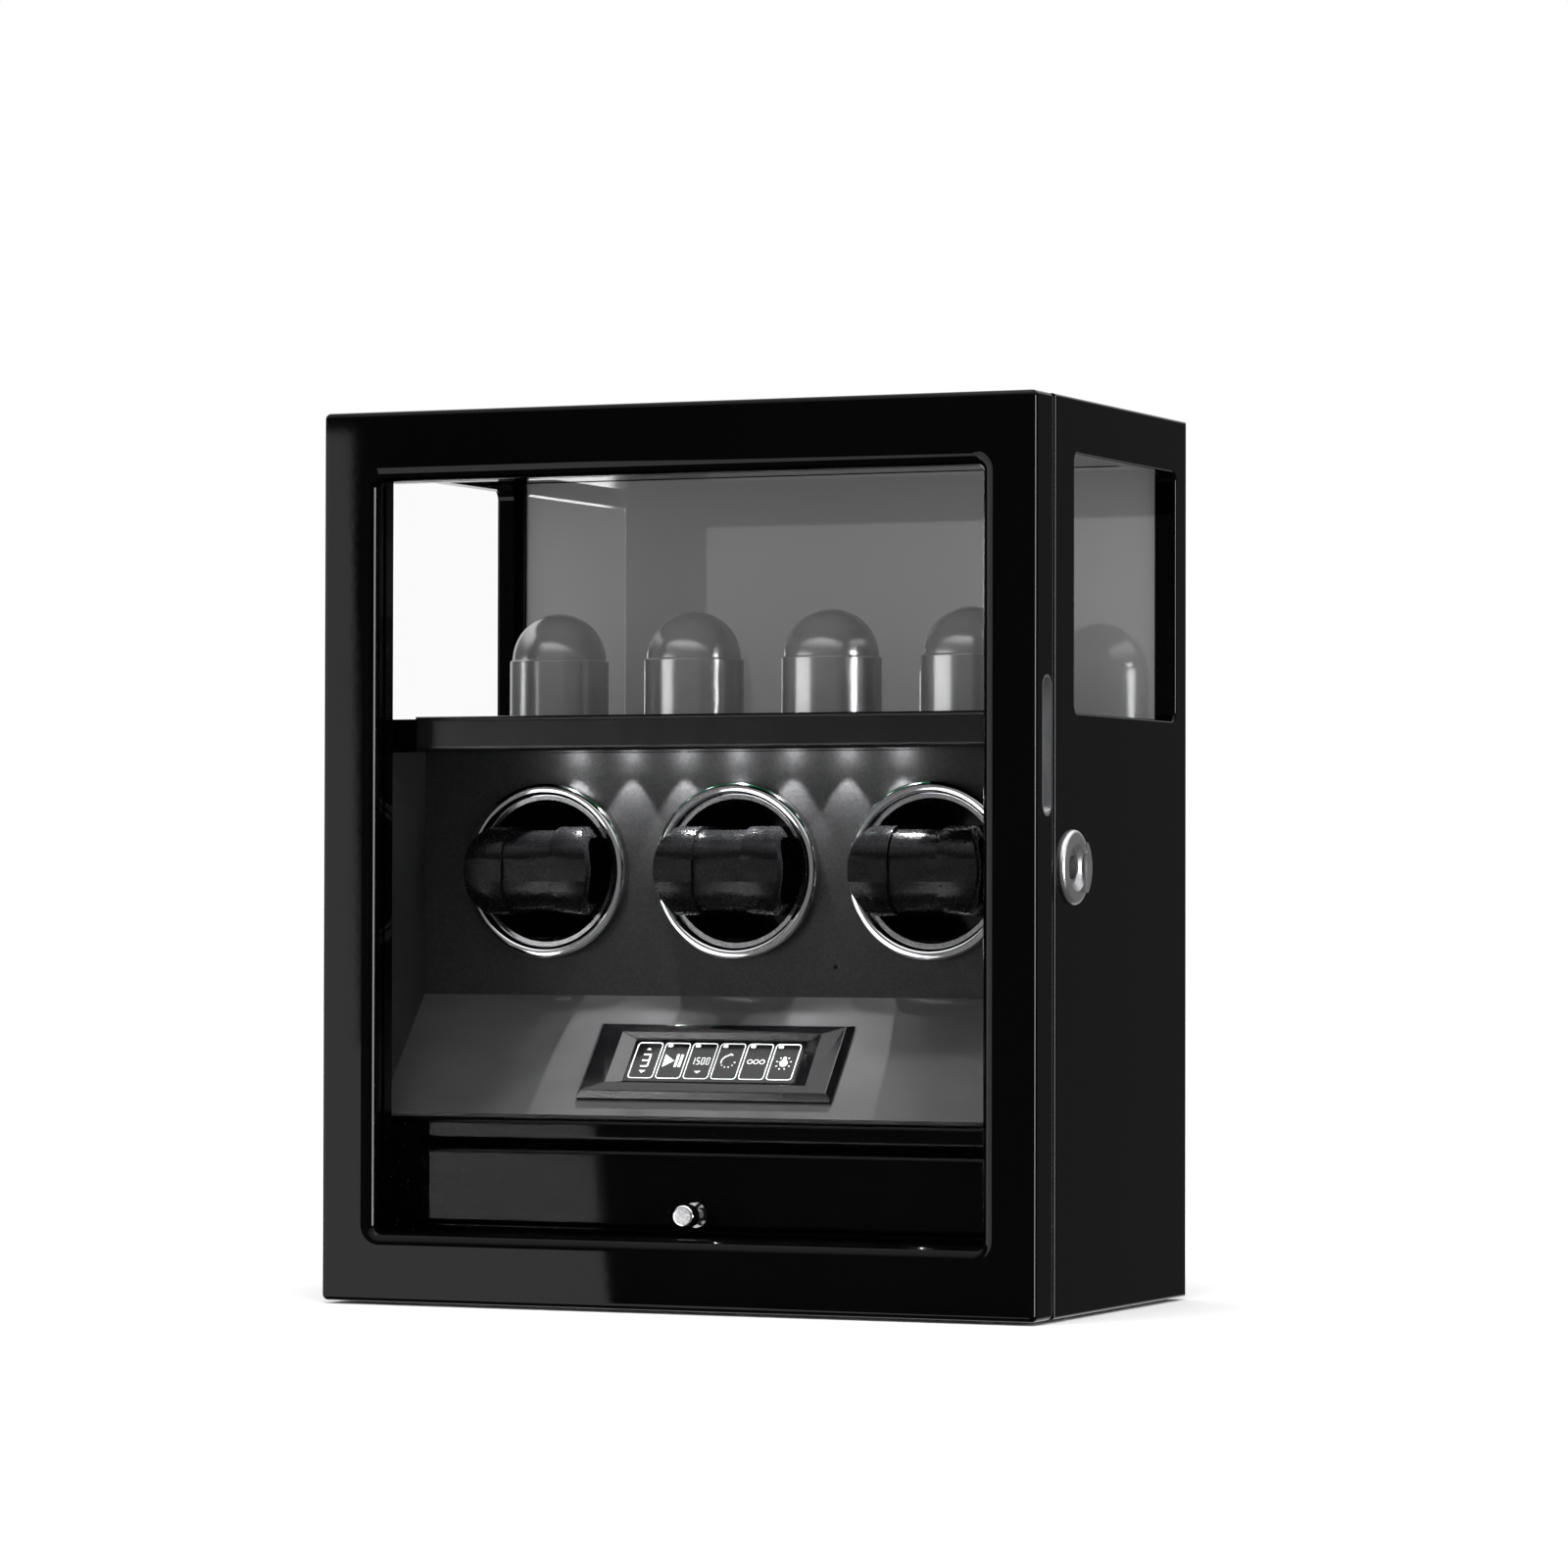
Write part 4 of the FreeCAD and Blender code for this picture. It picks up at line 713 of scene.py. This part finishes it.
class WINDER_OT_screen_marks(bpy.types.Operator):
    """Draws the lit touch cells and their generic marks on the screen"""

    bl_idname = "winder.screen_marks"
    bl_label = "Screen marks"

    def execute(self, context):
        settings = context.scene.winder_screen
        plane = ScreenPlane(settings)
        pitch = plane.width * settings.used_width / len(MARKS)
        cell = pitch - settings.cell_gap
        sheet = MarkSheet()
        for number, mark in enumerate(MARKS):
            x = (number - (len(MARKS) - 1) / 2) * pitch
            edge = round_rectangle(cell, settings.cell_height, settings.cell_round) + np.array([x, 0])
            sheet.strip(edge, settings.line, closed=True)
            if number:
                tab = round_rectangle(cell * 0.2, cell * 0.13, cell * 0.03, 2)
                sheet.filled(tab + np.array([x - cell * 0.3, settings.cell_height * 0.43]))
            mark(sheet, x, cell, settings.line)
        points = plane.place(np.vstack(sheet.points))
        faces = np.vstack(sheet.faces)
        white = lit_finish("screen_light", MARK_WHITE, settings.glow)
        piece = new_piece("screen_marks", points, faces, white, "cabinet")
        layer = piece.modifiers.new("Layer", "SOLIDIFY")
        layer.thickness = settings.mark_lift * 0.8
        layer.offset = -1
        return {"FINISHED"}


# Drawer lining


class WINDER_OT_drawer_lining(bpy.types.Operator):
    """Lines the drawer with flock"""

    bl_idname = "winder.drawer_lining"
    bl_label = "Drawer lining"

    def execute(self, context):
        settings = context.scene.winder_lining
        low, high = (np.array(corner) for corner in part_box("drawer_tray"))
        room = settings.tray_wall + settings.gap
        width, length = high[0] - low[0] - 2 * room, high[1] - low[1] - 2 * room
        rim = round_rectangle(width, length, settings.corner, 8)
        floor, top = low[2] + settings.tray_floor + settings.gap, high[2] - settings.gap
        # Each ring is the rim's outline: down the wall, round the foot, then in over the floor.
        bend = np.linspace(0, np.pi / 2, 6)
        foot = settings.corner
        inward = np.linspace(foot * 3, length * 0.498, 12)
        wall = [top, floor + foot * 1.5]
        inset = np.concatenate([np.zeros(len(wall)), foot * (1 - np.cos(bend)), inward])
        height = np.concatenate([wall, floor + foot * (1 - np.sin(bend)), np.full(len(inward), floor)])
        scale_x, scale_y = 1 - 2 * inset / width, 1 - 2 * inset / length
        rings = np.empty((len(inset), len(rim), 3))
        rings[..., 0] = (low[0] + high[0]) / 2 + scale_x[:, None] * rim[None, :, 0]
        rings[..., 1] = (low[1] + high[1]) / 2 + scale_y[:, None] * rim[None, :, 1]
        rings[..., 2] = height[:, None]
        colour = context.scene.winder_finishes.lining_flock
        flock = satin_finish("drawer_flock", colour, roughness=0.9, scale=2600)
        shader = flock.node_tree.nodes["Principled BSDF"]
        shader.inputs["Sheen Weight"].default_value = 0.6
        shader.inputs["Sheen Roughness"].default_value = 0.4
        faces = grid_faces(*rings.shape[:2], wrap_columns=True)
        piece = new_piece("drawer_lining", rings, faces, flock, "drawer")
        pile = piece.modifiers.new("Pile", "SOLIDIFY")
        pile.thickness = settings.pile
        pile.offset = 1
        return {"FINISHED"}


# Lamp light


def hang(light, place):
    """Puts a light in the scene."""
    lamp = bpy.data.objects.new(light.name, light)
    lamp.matrix_world = place
    lamp.visible_camera = False
    bpy.context.collection.objects.link(lamp)
    return lamp


def aimed(place, target):
    """A transform at a place whose -Z looks at a target."""
    look = (Vector(target) - Vector(place)).to_track_quat("-Z", "Y")
    return Matrix.Translation(place) @ look.to_matrix().to_4x4()


class WINDER_OT_lamp_light(bpy.types.Operator):
    """Hangs a beam and a small glow near the fascia, and a wash for the slope, under each lamp lens"""

    bl_idname = "winder.lamp_light"
    bl_label = "Lamp light"

    def execute(self, context):
        stage = context.scene.winder_stage
        low, high = (np.array(corner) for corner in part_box("led_lamps"))
        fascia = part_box("winder_fascia")[0][1]
        half = (high[1] - low[1]) / 2
        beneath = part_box("display_shelf")[0][2] - stage.lamp_drop
        for number, x in enumerate(np.linspace(low[0] + half, high[0] - half, stage.lamp_count), 1):
            near_fascia = Vector((x, fascia - stage.lamp_gap, beneath))
            lens = Vector((x, low[1] + half, beneath))
            for name, power, place, lean in (
                (f"lamp_beam_{number}", stage.lamp_power, near_fascia, 0),
                (f"lamp_wash_{number}", stage.wash_power, lens, stage.wash_lean),
            ):
                beam = bpy.data.lights.new(name, "SPOT")
                beam.energy = power
                beam.spot_size = stage.lamp_cone
                beam.spot_blend = stage.lamp_blend
                beam.shadow_soft_size = half / 3
                lamp = hang(beam, aimed(place, place + Vector((0, -math.tan(lean), -1))))
                lamp.visible_glossy = place is near_fascia
            glow = bpy.data.lights.new(f"lamp_glow_{number}", "POINT")
            glow.energy = stage.glow_power
            glow.shadow_soft_size = half / 4
            hang(glow, Matrix.Translation((x, fascia - stage.glow_gap, beneath))).visible_glossy = False
        return {"FINISHED"}


# Stage


def soft_box(name, place, target, size, radiance):
    """An area light with a given brightness of its face."""
    light = bpy.data.lights.new(name, "AREA")
    light.shape = "RECTANGLE"
    light.size, light.size_y = size
    light.energy = radiance * math.pi * size[0] * size[1]
    return hang(light, aimed(place, target))


def studio_camera(stage):
    """A level camera turned to the right of the box; its axes come from yaw, pitch and roll."""
    yaw, pitch, roll = stage.camera_yaw, stage.camera_pitch, stage.camera_roll
    back = Vector((math.sin(yaw) * math.cos(pitch), -math.cos(yaw) * math.cos(pitch), -math.sin(pitch)))
    level = Vector((math.cos(yaw), math.sin(yaw), 0))
    upright = level.cross(-back)
    right = math.cos(roll) * level + math.sin(roll) * upright
    up = -math.sin(roll) * level + math.cos(roll) * upright
    data = bpy.data.cameras.new("studio_camera")
    data.sensor_width = SENSOR_WIDTH
    data.lens = stage.lens
    data.clip_start = 0.01
    camera = bpy.data.objects.new("studio_camera", data)
    turn = Matrix((right, up, back)).transposed().to_4x4()
    camera.matrix_world = Matrix.Translation(stage.camera_place) @ turn
    bpy.context.collection.objects.link(camera)
    bpy.context.scene.camera = camera


def band(nodes, links, value, low, high, soft):
    """One between low and high, and nought outside, with soft edges."""
    edges = []
    for edge, ends in ((low, (0, 1)), (high, (1, 0))):
        step = nodes.new("ShaderNodeMapRange")
        step.interpolation_type = "SMOOTHSTEP"
        step.inputs["From Min"].default_value = edge - soft / 2
        step.inputs["From Max"].default_value = edge + soft / 2
        step.inputs["To Min"].default_value, step.inputs["To Max"].default_value = ends
        links.new(value, step.inputs["Value"])
        edges.append(step.outputs["Result"])
    return combined(nodes, links, "MULTIPLY", *edges)


def combined(nodes, links, operation, *values):
    """A math node on two sockets or numbers."""
    node = nodes.new("ShaderNodeMath")
    node.operation = operation
    for socket, value in zip(node.inputs, values):
        if isinstance(value, (int, float)):
            socket.default_value = value
        else:
            links.new(value, socket)
    return node.outputs["Value"]


def heading(nodes, links):
    """Azimuth from the front (-Y) towards the right (+X) and elevation of a direction, in degrees."""
    direction = nodes.new("ShaderNodeTexCoord")
    parts = nodes.new("ShaderNodeSeparateXYZ")
    links.new(direction.outputs["Generated"], parts.inputs["Vector"])
    front = combined(nodes, links, "MULTIPLY", parts.outputs["Y"], -1.0)
    azimuth = combined(nodes, links, "ARCTAN2", parts.outputs["X"], front)
    elevation = combined(nodes, links, "ARCSINE", parts.outputs["Z"])
    per_radian = math.degrees(1)
    return [combined(nodes, links, "MULTIPLY", angle, per_radian) for angle in (azimuth, elevation)]


# What gloss reflects: azimuth and elevation ranges in degrees, softness, slant and brightness.
REFLECTED = (
    {"azimuth": (-75, -27.735), "elevation": (-3.5, 4.5), "soft": 0.1, "slant": 0.0167, "strength": 4.8},
    {"azimuth": (-75, -25.7), "elevation": (-40, -1.4), "soft": 0.1, "slant": 0.1, "strength": 4.8},
    {"azimuth": (-27, 40), "elevation": (-60, 40), "soft": 20.0, "slant": 0.0, "strength": 0.26},
    {"azimuth": (74, 92), "elevation": (-7, 9), "soft": 2.0, "slant": 0.0, "strength": 40.0},
    {"azimuth": (-200, 200), "elevation": (27, 120), "soft": 30.0, "slant": 0.0, "strength": 2.0},
    {"azimuth": (168, 181), "elevation": (-40, 60), "soft": 12.0, "slant": 0.0, "strength": 1.0},
    {"azimuth": (-190, -120), "elevation": (-40, 60), "soft": 12.0, "slant": 0.0, "strength": 1.0},
)


def studio_world(stage):
    """White for the eye and through glass. Gloss sees a dim room, bright panels and a white backdrop."""
    world = bpy.data.worlds.new("studio")
    world.use_nodes = True
    bpy.context.scene.world = world
    nodes, links = world.node_tree.nodes, world.node_tree.links
    nodes.clear()
    azimuth, elevation = heading(nodes, links)
    gloss = stage.room_dark
    for panel in REFLECTED:
        slanted = combined(nodes, links, "MULTIPLY", elevation, panel["slant"])
        slanted = combined(nodes, links, "ADD", azimuth, slanted)
        across = band(nodes, links, slanted, *panel["azimuth"], panel["soft"])
        upward = band(nodes, links, elevation, *panel["elevation"], panel["soft"])
        shape = combined(nodes, links, "MULTIPLY", across, upward)
        lit = combined(nodes, links, "MULTIPLY", shape, panel["strength"])
        gloss = combined(nodes, links, "MAXIMUM", lit, gloss)
    rays = nodes.new("ShaderNodeLightPath")
    direct = (rays.outputs[ray] for ray in ("Is Camera Ray", "Is Transmission Ray"))
    straight = combined(nodes, links, "MAXIMUM", *direct)
    seen = nodes.new("ShaderNodeMix")
    links.new(rays.outputs["Is Glossy Ray"], seen.inputs["Factor"])
    seen.inputs["A"].default_value = stage.fill
    links.new(gloss, seen.inputs["B"])
    whole = nodes.new("ShaderNodeMix")
    links.new(straight, whole.inputs["Factor"])
    links.new(seen.outputs["Result"], whole.inputs["A"])
    whole.inputs["B"].default_value = 1.0
    background = nodes.new("ShaderNodeBackground")
    background.inputs["Color"].default_value = (1, 1, 1, 1)
    links.new(whole.outputs["Result"], background.inputs["Strength"])
    output = nodes.new("ShaderNodeOutputWorld")
    links.new(background.outputs["Background"], output.inputs["Surface"])


def studio_floor(stage):
    """A pale floor: the eye sees it white with the box's shadow, and gloss sees the room through it."""
    material, shader = new_material("pale_floor")
    nodes, links = material.node_tree.nodes, material.node_tree.links
    shader.inputs["Base Color"].default_value = (0.8, 0.8, 0.8, 1)
    shader.inputs["Roughness"].default_value = 0.9
    shader.inputs["Specular IOR Level"].default_value = 0
    white = nodes.new("ShaderNodeBsdfDiffuse")
    white.inputs["Color"].default_value = (*[stage.floor_white] * 3, 1)
    clear = nodes.new("ShaderNodeBsdfTransparent")
    rays = nodes.new("ShaderNodeLightPath")
    surface = shader.outputs["BSDF"]
    for ray, seen in (("Is Camera Ray", white), ("Is Glossy Ray", clear)):
        mix = nodes.new("ShaderNodeMixShader")
        links.new(rays.outputs[ray], mix.inputs["Fac"])
        links.new(surface, mix.inputs[1])
        links.new(seen.outputs["BSDF"], mix.inputs[2])
        surface = mix.outputs["Shader"]
    links.new(surface, nodes["Material Output"].inputs["Surface"])
    side = np.linspace(-FLOOR_REACH, FLOOR_REACH, 3)
    x, y = np.meshgrid(side, side, indexing="ij")
    points = np.stack([x, y, np.zeros_like(x)], axis=-1)
    floor = new_object("pale_floor", points, grid_faces(*x.shape)[:, ::-1], material)


class WINDER_OT_stage(bpy.types.Operator):
    """Sets up floor, world, soft box and camera"""

    bl_idname = "winder.stage"
    bl_label = "Studio stage"

    def execute(self, context):
        stage = context.scene.winder_stage
        studio_floor(stage)
        studio_world(stage)
        box_middle = (0, 0, 0.2)
        soft_box("overhead", stage.overhead_place, box_middle, size=(1.2, 0.8), radiance=stage.overhead)
        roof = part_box("mirror_panel")[1][2]
        under_roof = Vector((0, -stage.bay_forward, roof - stage.bay_drop))
        lit_floor = under_roof + Vector((0, 0.02, -0.1))
        strip = soft_box("bay_light", under_roof, lit_floor, size=(0.28, 0.02), radiance=stage.bay_light)
        strip.visible_glossy = False
        studio_camera(stage)
        context.scene.view_settings.view_transform = "Standard"
        return {"FINISHED"}


class WINDER_PT_panel(bpy.types.Panel):
    """Lists the steps that dress the box"""

    bl_idname = "WINDER_PT_panel"
    bl_label = "Watch winder box"
    bl_space_type = "VIEW_3D"
    bl_region_type = "UI"
    bl_category = "Winder"

    def draw(self, context):
        for step in STEPS:
            self.layout.operator(step.bl_idname)


STEPS = (
    WINDER_OT_finish_cabinet,
    WINDER_OT_finish_glass,
    WINDER_OT_finish_fittings,
    WINDER_OT_finish_mouldings,
    WINDER_OT_screen_marks,
    WINDER_OT_drawer_lining,
    WINDER_OT_lamp_light,
    WINDER_OT_stage,
)
GROUPS = {
    "winder_finishes": WinderFinishes,
    "winder_screen": WinderScreen,
    "winder_lining": WinderLining,
    "winder_stage": WinderStage,
}


def register():
    for item in (*GROUPS.values(), *STEPS, WINDER_PT_panel):
        bpy.utils.register_class(item)
    for name, group in GROUPS.items():
        setattr(bpy.types.Scene, name, bpy.props.PointerProperty(type=group))


def unregister():
    for name in GROUPS:
        delattr(bpy.types.Scene, name)
    for item in reversed((*GROUPS.values(), *STEPS, WINDER_PT_panel)):
        bpy.utils.unregister_class(item)


def main():
    register()
    for step in STEPS:
        family, action = step.bl_idname.split(".")
        getattr(getattr(bpy.ops, family), action)()


if __name__ == "__main__":
    main()
